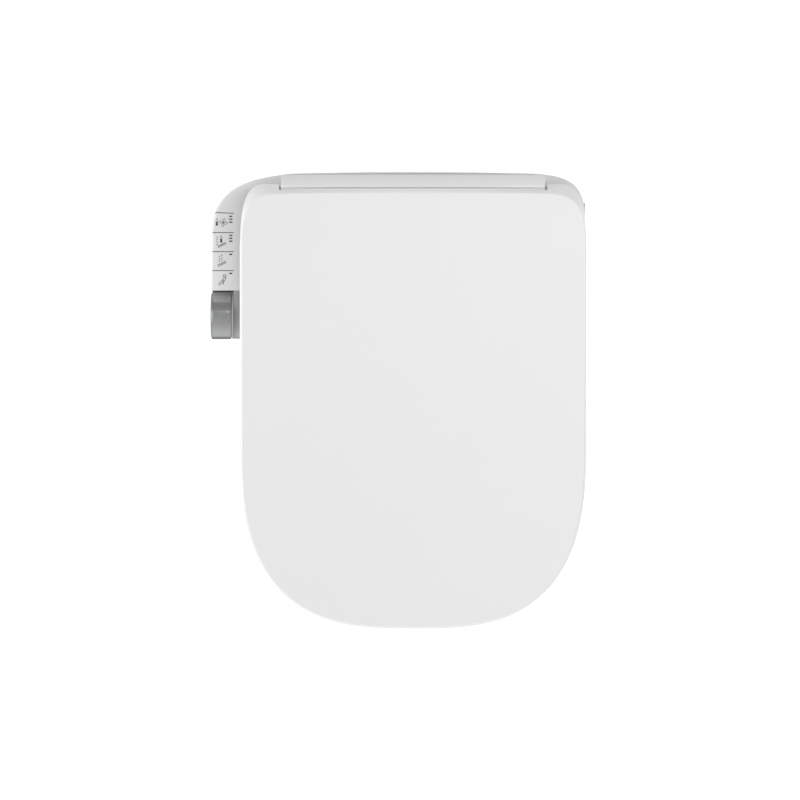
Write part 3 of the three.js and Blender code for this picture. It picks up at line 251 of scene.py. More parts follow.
# --- finishes
@dataclass(frozen=True)
class Finish:
    """What every finish has: a name, a colour and a roughness."""

    name: str
    colour: Point3
    roughness: float

    def build(self) -> bpy.types.Material:
        """Makes the material."""
        sheet = ShaderSheet(self.name)
        self.dress(sheet)
        return sheet.material

    def tint(self, gain: float, lift: float = 0.0) -> Point3:
        """Returns the colour made darker or lighter, up to white."""
        return tuple(min(part * gain + lift, 1.0) for part in self.colour)

    def dress(self, sheet: ShaderSheet) -> None:
        """Adds the finish's own nodes."""
        raise NotImplementedError


@dataclass(frozen=True)
class GlossShell(Finish):
    """Injection-moulded gloss plastic: a clear skin over a very faint flow and orange-peel surface."""

    coat: float = 0.35
    flow: float = 0.012

    def dress(self, sheet: ShaderSheet) -> None:
        """Adds cloudy colour, handling marks and the orange-peel surface."""
        place = sheet.coordinates()
        cloud = sheet.noise(place, 9.0, 3.0)
        peel = sheet.noise(place, 420.0, 1.0)
        grain = sheet.noise(place, 5200.0, 2.0, 0.6)
        marks = sheet.noise(sheet.coordinates((1.0, 0.35, 1.0)), 55.0, 4.0, 0.65)
        smudge = sheet.ramp(marks, [(0.45, 0.0), (0.75, 1.0)])
        surface = peel * 0.8 + grain * 0.2
        sheet.shade({
            "Base Color": sheet.mix(cloud, self.tint(1.0 - self.flow), self.colour),
            "Roughness": (marks - 0.5) * 0.04 + (cloud - 0.5) * 0.02 + self.roughness,
            "Coat Weight": self.coat - smudge * 0.05,
            "Coat Roughness": 0.09,
            "IOR": 1.49,
            "Normal": sheet.bump(surface, 0.01 * MM, 0.6),
        })


@dataclass(frozen=True)
class MouldedPlastic(Finish):
    """Spark-eroded satin or matt moulding: a fine even grain with slightly polished high spots."""

    grain_depth: float = 0.06 * MM
    grain_cells: float = 2600.0

    def dress(self, sheet: ShaderSheet) -> None:
        """Adds the grain and the faint flow marks."""
        place = sheet.coordinates()
        grain = sheet.noise(place, self.grain_cells, 3.0, 0.6)
        flow = sheet.noise(sheet.coordinates((1.0, 3.0, 1.0)), 24.0, 3.0)
        sheet.shade({
            "Base Color": sheet.mix(flow * 0.7 + grain * 0.3, self.tint(0.93), self.tint(1.04)),
            "Roughness": (grain - 0.5) * 0.25 + (flow - 0.5) * 0.08 + self.roughness,
            "Normal": sheet.bump(grain, self.grain_depth, 0.7),
        })


class Lay(Enum):
    """Which way the tool marks of a metal surface run."""

    ROUND_X = (5200.0, 40.0, 40.0)
    ROUND_Z = (40.0, 40.0, 5200.0)
    ALONG_X = (60.0, 4200.0, 4200.0)
    DRAWN_X = (3.0, 1300.0, 1300.0)
    ALONG_Y = (4200.0, 60.0, 4200.0)


@dataclass(frozen=True)
class MachinedMetal(Finish):
    """Turned, drawn or brushed metal: fine tool marks in one direction and a soft haze."""

    lay: Lay = Lay.ROUND_X
    mark_depth: float = 0.008 * MM
    metallic: float = 1.0

    def dress(self, sheet: ShaderSheet) -> None:
        """Adds the tool marks and the haze."""
        marks = sheet.noise(sheet.coordinates(self.lay.value), 1.0, 4.0, 0.7)
        haze = sheet.noise(sheet.coordinates(), 60.0, 3.0)
        sheet.shade({
            "Base Color": sheet.mix(marks * 0.6 + haze * 0.4, self.tint(0.88), self.colour),
            "Metallic": self.metallic,
            "Roughness": (marks - 0.5) * 0.14 + (haze - 0.5) * 0.10 + self.roughness,
            "Normal": sheet.bump(marks, self.mark_depth, 0.5),
        })


@dataclass(frozen=True)
class Rubber(Finish):
    """Moulded rubber: dull, slightly dusty on its high spots."""

    def dress(self, sheet: ShaderSheet) -> None:
        """Adds the dust and the soft pitted surface."""
        place = sheet.coordinates()
        pits = sheet.noise(place, 1900.0, 3.0, 0.65)
        dust = sheet.noise(place, 120.0, 4.0)
        sheet.shade({
            "Base Color": sheet.mix(sheet.ramp(dust, [(0.4, 0.0), (0.8, 1.0)]), self.colour, self.tint(1.25, 0.02)),
            "Roughness": (dust - 0.5) * 0.15 + self.roughness,
            "Normal": sheet.bump(pits, 0.08 * MM, 0.6),
        })


@dataclass(frozen=True)
class SolderMask(Finish):
    """A circuit board: mask over tracks, with the tracks standing a little proud."""

    track: Point3 = (0.05, 0.24, 0.12)

    def dress(self, sheet: ShaderSheet) -> None:
        """Adds the tracks under the mask."""
        place = sheet.coordinates()
        cells = sheet.node("ShaderNodeTexVoronoi", {"feature": "DISTANCE_TO_EDGE", "distance": "EUCLIDEAN"},
                           {"Vector": place, "Scale": 260.0, "Randomness": 0.35})
        edge = sheet.output(cells, "Distance")
        tracks = sheet.ramp(edge, [(0.04, 1.0), (0.09, 0.0)])
        weave = sheet.noise(place, 2200.0, 2.0)
        sheet.shade({
            "Base Color": sheet.mix(tracks, self.colour, self.track),
            "Roughness": (weave - 0.5) * 0.2 + self.roughness,
            "Normal": sheet.bump(tracks * 0.7 + weave * 0.3, 0.05 * MM, 0.6),
        })


@dataclass(frozen=True)
class LampWindow(Finish):
    """An unlit indicator window: smoked clear plastic with a faint moulded diffuser inside."""

    def dress(self, sheet: ShaderSheet) -> None:
        """Adds the diffuser's fine ridges."""
        ridges = sheet.noise(sheet.coordinates((1.0, 6.0, 1.0)), 900.0, 2.0)
        sheet.shade({
            "Base Color": sheet.mix(ridges, self.tint(0.8), self.colour),
            "Roughness": ridges * 0.12 + self.roughness,
            "Coat Weight": 0.5,
            "Coat Roughness": 0.05,
            "Normal": sheet.bump(ridges, 0.02 * MM, 0.4),
        })


@dataclass(frozen=True)
class PrintedInk(Finish):
    """Pad-printed ink: thin, with slightly uneven cover."""

    def dress(self, sheet: ShaderSheet) -> None:
        """Adds the uneven cover."""
        cover = sheet.noise(sheet.coordinates(), 3000.0, 3.0, 0.6)
        sheet.shade({
            "Base Color": sheet.mix(sheet.ramp(cover, [(0.45, 0.0), (0.8, 1.0)]), self.colour, self.tint(1.35)),
            "Roughness": (cover - 0.5) * 0.2 + self.roughness,
            "Normal": sheet.bump(cover, 0.01 * MM, 0.4),
        })


@dataclass(frozen=True)
class PorousCarbon(Finish):
    """Activated carbon behind a coarse web: granules with dark gaps."""

    def dress(self, sheet: ShaderSheet) -> None:
        """Adds the granules."""
        place = sheet.coordinates()
        cells = sheet.node("ShaderNodeTexVoronoi", {"feature": "F1", "distance": "EUCLIDEAN"},
                           {"Vector": place, "Scale": 700.0, "Randomness": 1.0})
        lump = sheet.output(cells, "Distance")
        grit = sheet.noise(place, 2500.0, 3.0)
        sheet.shade({
            "Base Color": sheet.mix(lump, self.colour, self.tint(0.35)),
            "Roughness": (grit - 0.5) * 0.2 + self.roughness,
            "Normal": sheet.bump(1.0 - lump, 0.5 * MM, 0.8),
        })


@dataclass(frozen=True)
class PlainFloor(Finish):
    """The pale light table that the object is shown over."""

    glow: float = 0.45

    def dress(self, sheet: ShaderSheet) -> None:
        """Adds an almost even tone."""
        tone = sheet.noise(sheet.coordinates(), 3.0, 2.0)
        sheet.shade({"Base Color": sheet.mix(tone, self.tint(0.995), self.colour), "Roughness": self.roughness,
                     "Specular IOR Level": 0.2, "Emission Color": (*self.colour, 1.0),
                     "Emission Strength": self.glow})


FINISHES: Tuple[Finish, ...] = (
    GlossShell("white_gloss", (0.86, 0.862, 0.865), 0.24),
    # The housing's gloss is a darker copy of the lid's white. The darker colour is painted shade for the shade the
    # arm and hump lie in beside the taller lid; its cloudy flow is the plastic's own tone.
    GlossShell("arm_shaded_gloss", (0.80, 0.80, 0.802), 0.30, 0.25),
    # Painted shade: a dark grey gloss for the cheek beside the knob, standing in for the shade between the knob and
    # the lid's skirt.
    GlossShell("cheek_painted_shade", (0.38, 0.38, 0.385), 0.36, 0.15),
    MouldedPlastic("white_matt", (0.76, 0.76, 0.755), 0.48),
    MouldedPlastic("grey_plastic", (0.27, 0.275, 0.285), 0.46),
    MouldedPlastic("bezel_grey", (0.42, 0.42, 0.43), 0.38, 0.02 * MM),
    MouldedPlastic("dark_plastic", (0.035, 0.036, 0.038), 0.52),
    MachinedMetal("satin_metal", (0.52, 0.53, 0.535), 0.20, Lay.DRAWN_X, 0.003 * MM, 0.8),
    MachinedMetal("wand_metal", (0.68, 0.69, 0.70), 0.22, Lay.ALONG_Y),
    MachinedMetal("steel", (0.60, 0.61, 0.62), 0.28, Lay.ROUND_Z),
    MachinedMetal("pin_steel", (0.58, 0.59, 0.60), 0.30, Lay.ALONG_X),
    Rubber("black_rubber", (0.025, 0.025, 0.026), 0.80),
    Rubber("pale_rubber", (0.62, 0.62, 0.60), 0.72),
    SolderMask("circuit_board", (0.012, 0.11, 0.045), 0.36),
    LampWindow("lamp_window", (0.115, 0.113, 0.113), 0.14),
    PrintedInk("panel_ink", (0.05, 0.05, 0.054), 0.55),
    PrintedInk("line_ink", (0.14, 0.14, 0.145), 0.55),
    MachinedMetal("heater_foil", (0.72, 0.50, 0.33), 0.38, Lay.ALONG_X),
    PorousCarbon("charcoal", (0.05, 0.05, 0.052), 0.85),
    PlainFloor("floor", (0.93, 0.93, 0.93), 0.9),
)


# --- outlines
def lerp(start: float, end: float, share: float) -> float:
    """Returns the value a share of the way from start to end."""
    return start + (end - start) * share


def ease(value: float, low: float, high: float) -> float:
    """Returns 0 below low, 1 above high and a smooth step between."""
    share = min(max((value - low) / (high - low), 0.0), 1.0)
    return share * share * (3.0 - 2.0 * share)


def bezier(start: Point2, control1: Point2, control2: Point2, end: Point2, steps: int) -> Outline:
    """Returns a cubic curve as points, both ends included."""
    points = []
    for step in range(steps + 1):
        t = step / steps
        weights = ((1 - t) ** 3, 3 * t * (1 - t) ** 2, 3 * t * t * (1 - t), t ** 3)
        corners = (start, control1, control2, end)
        points.append(tuple(sum(w * c[axis] for w, c in zip(weights, corners)) for axis in (0, 1)))
    return points


def arc(centre: Point2, radius: float, start: float, end: float, steps: int) -> Outline:
    """Returns an arc as points, angles in degrees, both ends included."""
    angles = [radians(lerp(start, end, step / steps)) for step in range(steps + 1)]
    return [(centre[0] + radius * cos(a), centre[1] + radius * sin(a)) for a in angles]


def circle(centre: Point2, radius: float, sides: int) -> Outline:
    """Returns a closed circle as points, without repeating the first."""
    return arc(centre, radius, 0.0, 360.0 * (sides - 1) / sides, sides - 1)


def rounded(low: Point2, high: Point2, radius: float, steps: int = 6) -> Outline:
    """Returns a rectangle with rounded corners, counter-clockwise."""
    return [
        *arc((high[0] - radius, low[1] + radius), radius, -90, 0, steps),
        *arc((high[0] - radius, high[1] - radius), radius, 0, 90, steps),
        *arc((low[0] + radius, high[1] - radius), radius, 90, 180, steps),
        *arc((low[0] + radius, low[1] + radius), radius, 180, 270, steps),
    ]


def mirrored(points: Outline) -> Outline:
    """Returns points on the other side of X = 0, in reverse order."""
    return [(-x, y) for x, y in reversed(points)]


def inset(outline: Outline, distance: float) -> Outline:
    """Returns a counter-clockwise outline with each point moved inwards."""
    moved = []
    for index, point in enumerate(outline):
        before = outline[index - 1]
        after = outline[(index + 1) % len(outline)]
        length = hypot(after[0] - before[0], after[1] - before[1])
        step = distance / length
        moved.append((point[0] - (after[1] - before[1]) * step, point[1] + (after[0] - before[0]) * step))
    return moved


def smooth_path(points: Outline, steps: int) -> Outline:
    """Returns a Catmull-Rom curve through points, with so many parts between two of them."""
    last = len(points) - 1
    path = []
    for index in range(last):
        a, b, c, d = (points[min(max(index + k, 0), last)] for k in (-1, 0, 1, 2))
        for step in range(steps):
            t = step / steps
            path.append(tuple(
                0.5 * (2 * b[i] + (c[i] - a[i]) * t + (2 * a[i] - 5 * b[i] + 4 * c[i] - d[i]) * t * t
                       + (3 * b[i] - a[i] - 3 * c[i] + d[i]) * t ** 3) for i in (0, 1)))
    return [*path, points[-1]]


# --- solids
class Form:
    """A closed mesh that can be joined to others, cut by them or kept inside one."""

    WELD = 0.002e-3
    HOLE_SIDES = 8

    def __init__(self, points: Sequence[Point3], faces: Sequence[Sequence[int]]) -> None:
        """Makes the mesh with its faces pointing out.

        Args:
            points: Its corners, in metres.
            faces: Corner numbers of each face.
        """
        mesh = bpy.data.meshes.new("form")
        mesh.from_pydata([tuple(point) for point in points], [], [list(face) for face in faces])
        shell = bmesh.new()
        shell.from_mesh(mesh)
        bmesh.ops.remove_doubles(shell, verts=shell.verts, dist=1e-7)
        bmesh.ops.recalc_face_normals(shell, faces=shell.faces)
        shell.to_mesh(mesh)
        shell.free()
        self.object = bpy.data.objects.new("form", mesh)
        bpy.context.scene.collection.objects.link(self.object)

    @classmethod
    def stack(cls, loops: Sequence[Sequence[Point3]]) -> "Form":
        """Makes a solid through loops of equal length, set one above another and capped."""
        count = len(loops[0])
        points = [metres(*point) for loop in loops for point in loop]
        faces = [[k * count + i, k * count + (i + 1) % count, (k + 1) * count + (i + 1) % count,
                  (k + 1) * count + i] for k in range(len(loops) - 1) for i in range(count)]
        last = (len(loops) - 1) * count
        faces.append(list(reversed(range(count))))
        faces.append([last + i for i in range(count)])
        return cls(points, faces)

    @classmethod
    def ring(cls, sections: Sequence[Sequence[Point3]]) -> "Form":
        """Makes a ring through closed sections that follow one another round."""
        count = len(sections[0])
        total = len(sections)
        points = [metres(*point) for section in sections for point in section]
        faces = [[k * count + i, k * count + (i + 1) % count, (k + 1) % total * count + (i + 1) % count,
                  (k + 1) % total * count + i] for k in range(total) for i in range(count)]
        return cls(points, faces)

    @classmethod
    def bar_x(cls, profile: Outline, x0: float, x1: float) -> "Form":
        """Extrudes a profile of (y, z) from x0 to x1."""
        return cls.stack([[(x, y, z) for y, z in profile] for x in (x0, x1)])

    @classmethod
    def bar_y(cls, profile: Outline, y0: float, y1: float) -> "Form":
        """Extrudes a profile of (x, z) from y0 to y1."""
        return cls.stack([[(x, y, z) for x, z in profile] for y in (y0, y1)])

    @classmethod
    def plate(cls, profile: Outline, z0: float, z1: float) -> "Form":
        """Extrudes a profile of (x, y) from z0 to z1."""
        return cls.stack([[(x, y, z) for x, y in profile] for z in (z0, z1)])

    @classmethod
    def slab(cls, outline: Outline, levels: Outline) -> "Form":
        """Makes a slab through an outline of (x, y), set in by each level's distance at its z."""
        return cls.stack([[(x, y, z) for x, y in inset(outline, distance)] for distance, z in levels])

    @classmethod
    def slab_x(cls, outline: Outline, levels: Outline) -> "Form":
        """Makes a slab through an outline of (y, z), set in by each level's distance at its x."""
        return cls.stack([[(x, y, z) for y, z in inset(outline, distance)] for distance, x in levels])

    @classmethod
    def block(cls, low: Point3, high: Point3) -> "Form":
        """Makes a plain cutting block between two corners."""
        outline = [(low[0], low[1]), (high[0], low[1]), (high[0], high[1]), (low[0], high[1])]
        return cls.plate(outline, low[2], high[2])

    @classmethod
    def turned(cls, profile: Outline, sides: int, place: Matrix) -> "Form":
        """Turns a profile of (radius, along) about the local Z axis of a place."""
        return cls._lathe(profile, sides, place, lambda radius, along, angle: (radius, along))

    @classmethod
    def threaded(cls, profile: Outline, sides: int, place: Matrix, pitch: float, depth: float,
                 span: Point2) -> "Form":
        """Turns a profile and rolls a thread into a stretch of it.

        Args:
            profile: Starts and ends on the axis, with fine steps over the thread.
            sides: Faces round it.
            place: Where its axis goes.
            pitch: Distance between crests.
            depth: From crest to root.
            span: Where the thread starts and ends along the axis.

        Returns:
            The threaded solid.
        """
        def rolled(radius: float, along: float, angle: float) -> Point2:
            """Lowers the surface between crests, less so where the thread runs out."""
            fade = ease(along, span[0], span[0] + pitch) * (1 - ease(along, span[1] - pitch, span[1]))
            phase = (along / pitch - angle / (2 * pi)) % 1.0
            return radius - depth * fade * (1 - abs(2 * phase - 1)) * (radius > 2 * depth), along

        return cls._lathe(profile, sides, place, rolled)

    @classmethod
    def _lathe(cls, profile: Outline, sides: int, place: Matrix,
               shaped: Callable[[float, float, float], Point2]) -> "Form":
        """Builds a body of revolution, passing each point through a shaping function."""
        points = []
        rows = []
        for radius, along in profile:
            if radius < 1e-9:
                rows.append([len(points)])
                points.append(place @ Vector(metres(0.0, 0.0, along)))
                continue
            row = []
            for side in range(sides):
                angle = 2 * pi * side / sides
                r, h = shaped(radius, along, angle)
                row.append(len(points))
                points.append(place @ Vector(metres(r * cos(angle), r * sin(angle), h)))
            rows.append(row)
        faces = []
        for lower, upper in zip(rows, rows[1:]):
            for side in range(sides):
                nxt = (side + 1) % sides
                if len(lower) == 1 and len(upper) > 1:
                    faces.append([lower[0], upper[nxt], upper[side]])
                elif len(upper) == 1 and len(lower) > 1:
                    faces.append([lower[side], lower[nxt], upper[0]])
                elif len(lower) > 1:
                    faces.append([lower[side], lower[nxt], upper[nxt], upper[side]])
        if len(rows[0]) > 1 and len(rows[-1]) > 1:
            for side in range(sides):
                nxt = (side + 1) % sides
                faces.append([rows[-1][side], rows[-1][nxt], rows[0][nxt], rows[0][side]])
        return cls(points, faces)

    def _combine(self, operation: str, others: Iterable["Form"]) -> "Form":
        """Applies one Boolean after another and uses the other forms up."""
        for other in others:
            step = self.object.modifiers.new(operation.lower(), "BOOLEAN")
            step.operation = operation
            step.solver = "EXACT"
            step.object = other.object
            bpy.context.view_layer.update()
            result = bpy.data.meshes.new_from_object(
                self.object.evaluated_get(bpy.context.evaluated_depsgraph_get()))
            self.object.modifiers.clear()
            self.object.data = result
            bpy.data.objects.remove(other.object)
        return self

    def join(self, *others: "Form") -> "Form":
        """Adds other forms to this one."""
        return self._combine("UNION", others)

    def cut(self, *others: "Form") -> "Form":
        """Takes other forms out of this one."""
        return self._combine("DIFFERENCE", others)

    def common(self, other: "Form") -> "Form":
        """Keeps only what lies inside the other form."""
        return self._combine("INTERSECT", [other])

    def moved(self, place: Matrix) -> "Form":
        """Moves the mesh itself and returns the form."""
        self.object.data.transform(place)
        return self

    def add_loose(self, *others: "Form") -> "Form":
        """Takes other forms into the same mesh without a Boolean."""
        shell = bmesh.new()
        shell.from_mesh(self.object.data)
        for other in others:
            shell.from_mesh(other.object.data)
            bpy.data.objects.remove(other.object)
        shell.to_mesh(self.object.data)
        shell.free()
        return self

    def smoothed(self, angle: float = 32.0) -> bpy.types.Object:
        """Shades the mesh smooth up to an angle.

        Args:
            angle: Edges sharper than this stay crisp, in degrees.

        Returns:
            The finished object.
        """
        mesh = self.object.data
        shell = bmesh.new()
        shell.from_mesh(mesh)
        bmesh.ops.remove_doubles(shell, verts=shell.verts, dist=self.WELD)
        bmesh.ops.dissolve_degenerate(shell, edges=shell.edges, dist=self.WELD)
        bmesh.ops.holes_fill(shell, edges=shell.edges, sides=self.HOLE_SIDES)
        shell.to_mesh(mesh)
        shell.free()
        mesh.polygons.foreach_set("use_smooth", [True] * len(mesh.polygons))
        mesh.set_sharp_from_angle(angle=radians(angle))
        return self.object


@dataclass(frozen=True)
class Corner:
    """A corner of a box, in millimetres."""

    x: float
    y: float
    z: float


def box_of(node: str) -> Tuple[Corner, Corner]:
    """Returns the lowest and the highest corner of a construction node."""
    low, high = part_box(node)
    return Corner(*(part / MM for part in low)), Corner(*(part / MM for part in high))


def metres(x: float, y: float, z: float) -> Point3:
    """Returns a point in metres from millimetres."""
    return (x * MM, y * MM, z * MM)


def upright(x: float, y: float, z: float = 0.0) -> Matrix:
    """Returns a place whose axis stands along +Z."""
    return Matrix.Translation(metres(x, y, z))


def rod_x(centre: Point2, radius: float, x0: float, x1: float, sides: int = 48) -> Form:
    """Returns a round rod along X."""
    return Form.bar_x(circle(centre, radius, sides), x0, x1)


def peg(radius: float, low: float, high: float, sides: int, place: Matrix) -> Form:
    """Returns a plain cylinder along a place's axis."""
    return Form.turned([(0, low), (radius, low), (radius, high), (0, high)], sides, place)


class Bench:
    """Puts finished pieces on the object's bodies."""

    def __init__(self, frame: Dict[str, object]) -> None:
        """Makes the finishes and notes the nodes."""
        self.nodes = frame["nodes"]
        self.materials = {finish.name: finish.build() for finish in FINISHES}

    def mount(self, piece: bpy.types.Object, name: str, body: str, stands_for: Sequence[str], slot: str,
              finish: str = "") -> None:
        """Names a piece, dresses it and lets it ride on a body.

        Args:
            piece: The object.
            name: Its name.
            body: The body that carries it.
            stands_for: Construction nodes that it replaces.
            slot: The record's material slot.
            finish: The name of a finish, where it isn't the slot's own.
        """
        piece.name = name
        piece.data.name = name
        piece.data.materials.clear()
        piece.data.materials.append(self.materials[finish or slot])
        if stands_for:
            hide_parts(*stands_for)
        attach(piece, body)
        LOG.info("%s rides on %s, %d faces", name, body, len(piece.data.polygons))

    def mount_pad(self, node: str, suffix: str, body: str, rubber: str, sides: int, shape: Sequence[Point3]) -> None:
        """Turns a soft foot or stud to the size of its node.

        Args:
            node: The construction node.
            suffix: What the piece's name adds to the node's.
            body: The body that carries it.
            rubber: Its finish and slot.
            sides: Faces round it.
            shape: Rows of the share of the radius, the rise in mm and the share of the height.
        """
        low, high = box_of(node)
        radius, height = (high.x - low.x) / 2, high.z - low.z
        profile = [(share * radius, rise + part * height) for share, rise, part in shape]
        pad = Form.turned(profile, sides, upright((low.x + high.x) / 2, (low.y + high.y) / 2, low.z))
        self.mount(pad.smoothed(40.0), f"{node}_{suffix}", body, [node], rubber)

    def dress(self, node: str, finish: str) -> None:
        """Gives a construction node its finish."""
        piece = self.nodes[node]
        for slot in piece.material_slots:
            slot.material = self.materials[finish]
        LOG.info("%s takes %s", node, finish)


# --- shared sizes
@dataclass(frozen=True)
class HingeLine:
    """The line that the seat and the lid both turn about, and what it passes through."""

    y: float = 33.0
    z: float = 70.0
    pin_radius: float = 3.0
    eye_radius: float = 6.0
    hump_radius: float = 17.6
    hump_gap: float = 2.1
    ear_width: float = 41.8

    @property
    def centre(self) -> Point2:
        """Returns the line's place as (y, z)."""
        return (self.y, self.z)


@dataclass
class LidPlan:
    """The lid's outline and its heights, which the seat follows."""

    rear_y: float = 39.0
    nose_start_y: float = -243.0
    side_power: float = 3.0
    front_power: float = 2.6
    corner_start_y: float = -30.0
    corner_width: float = 26.4
    top_rear_z: float = 95.0
    top_front_z: float = 60.0
    edge_rear_z: float = 57.0
    edge_front_z: float = 35.0
    slope_start_y: float = 29.4
    side_bevel: float = 1.8
    half_width: float = field(init=False)
    front_y: float = field(init=False)

    def __post_init__(self) -> None:
        """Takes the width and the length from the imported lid."""
        low, high = box_of("lid_shell")
        self.half_width = high.x
        self.front_y = low.y

    def top(self, y: float) -> float:
        """Returns the height of the top at y."""
        return lerp(self.top_front_z, self.top_rear_z, (y - self.front_y) / (self.slope_start_y - self.front_y))

    def edge(self, y: float) -> float:
        """Returns the height of the skirt's lower edge at y."""
        return lerp(self.edge_front_z, self.edge_rear_z, (y - self.front_y) / (self.rear_y - self.front_y))

    def nose(self, half_width: float, front_y: float, steps: int = 44) -> Outline:
        """Returns the right half of the oval nose, from its tip to the straight side."""
        points = []
        for step in range(steps + 1):
            angle = pi / 2 * (1 - step / steps)
            across = max(cos(angle), 0.0) ** (2 / self.side_power)
            along = sin(angle) ** (2 / self.front_power)
            points.append((half_width * across, lerp(self.nose_start_y, front_y, along)))
        return points

    def outline(self) -> Outline:
        """Returns the outline, counter-clockwise from the tip of the nose."""
        side = [(self.half_width, lerp(self.nose_start_y, self.corner_start_y, k / 6)) for k in range(1, 6)]
        corner = bezier((self.half_width, self.corner_start_y), (self.half_width - 1, self.corner_start_y + 35),
                        (self.half_width - 2.4, self.rear_y),
                        (self.half_width - self.corner_width, self.rear_y), 26)
        back = [(lerp(self.half_width - self.corner_width, 0.0, k / 8), self.rear_y) for k in range(1, 8)]
        right = [*self.nose(self.half_width, self.front_y), *side, *corner, *back]
        return [*right, (0.0, self.rear_y), *mirrored(right[1:])]

    def crest(self) -> Outline:
        """Returns the boundary of the flat top, point for point inside the outline.

        It runs a narrow bevel's width in along the sides, and leaves a wide slope round the rear corners.
        """
        outline = self.outline()
        reach = self.half_width - self.side_bevel
        corner = bezier((reach, self.corner_start_y), (reach, self.corner_start_y + 42),
                        (reach - 7.6, self.slope_start_y - 2.4), (reach - 38, self.slope_start_y - 1.5), 26)
        sides = len(self.nose(reach, self.front_y)) + 5
        right = [*inset(outline, self.side_bevel)[:sides], *corner]
        across = [(x, self.slope_start_y - 1.5 * (x / right[-1][0]) ** 2)
                  for x in (lerp(right[-1][0], 0.0, k / 8) for k in range(1, 9))]
        right += across
        return [*right, *mirrored(right[1:-1])]


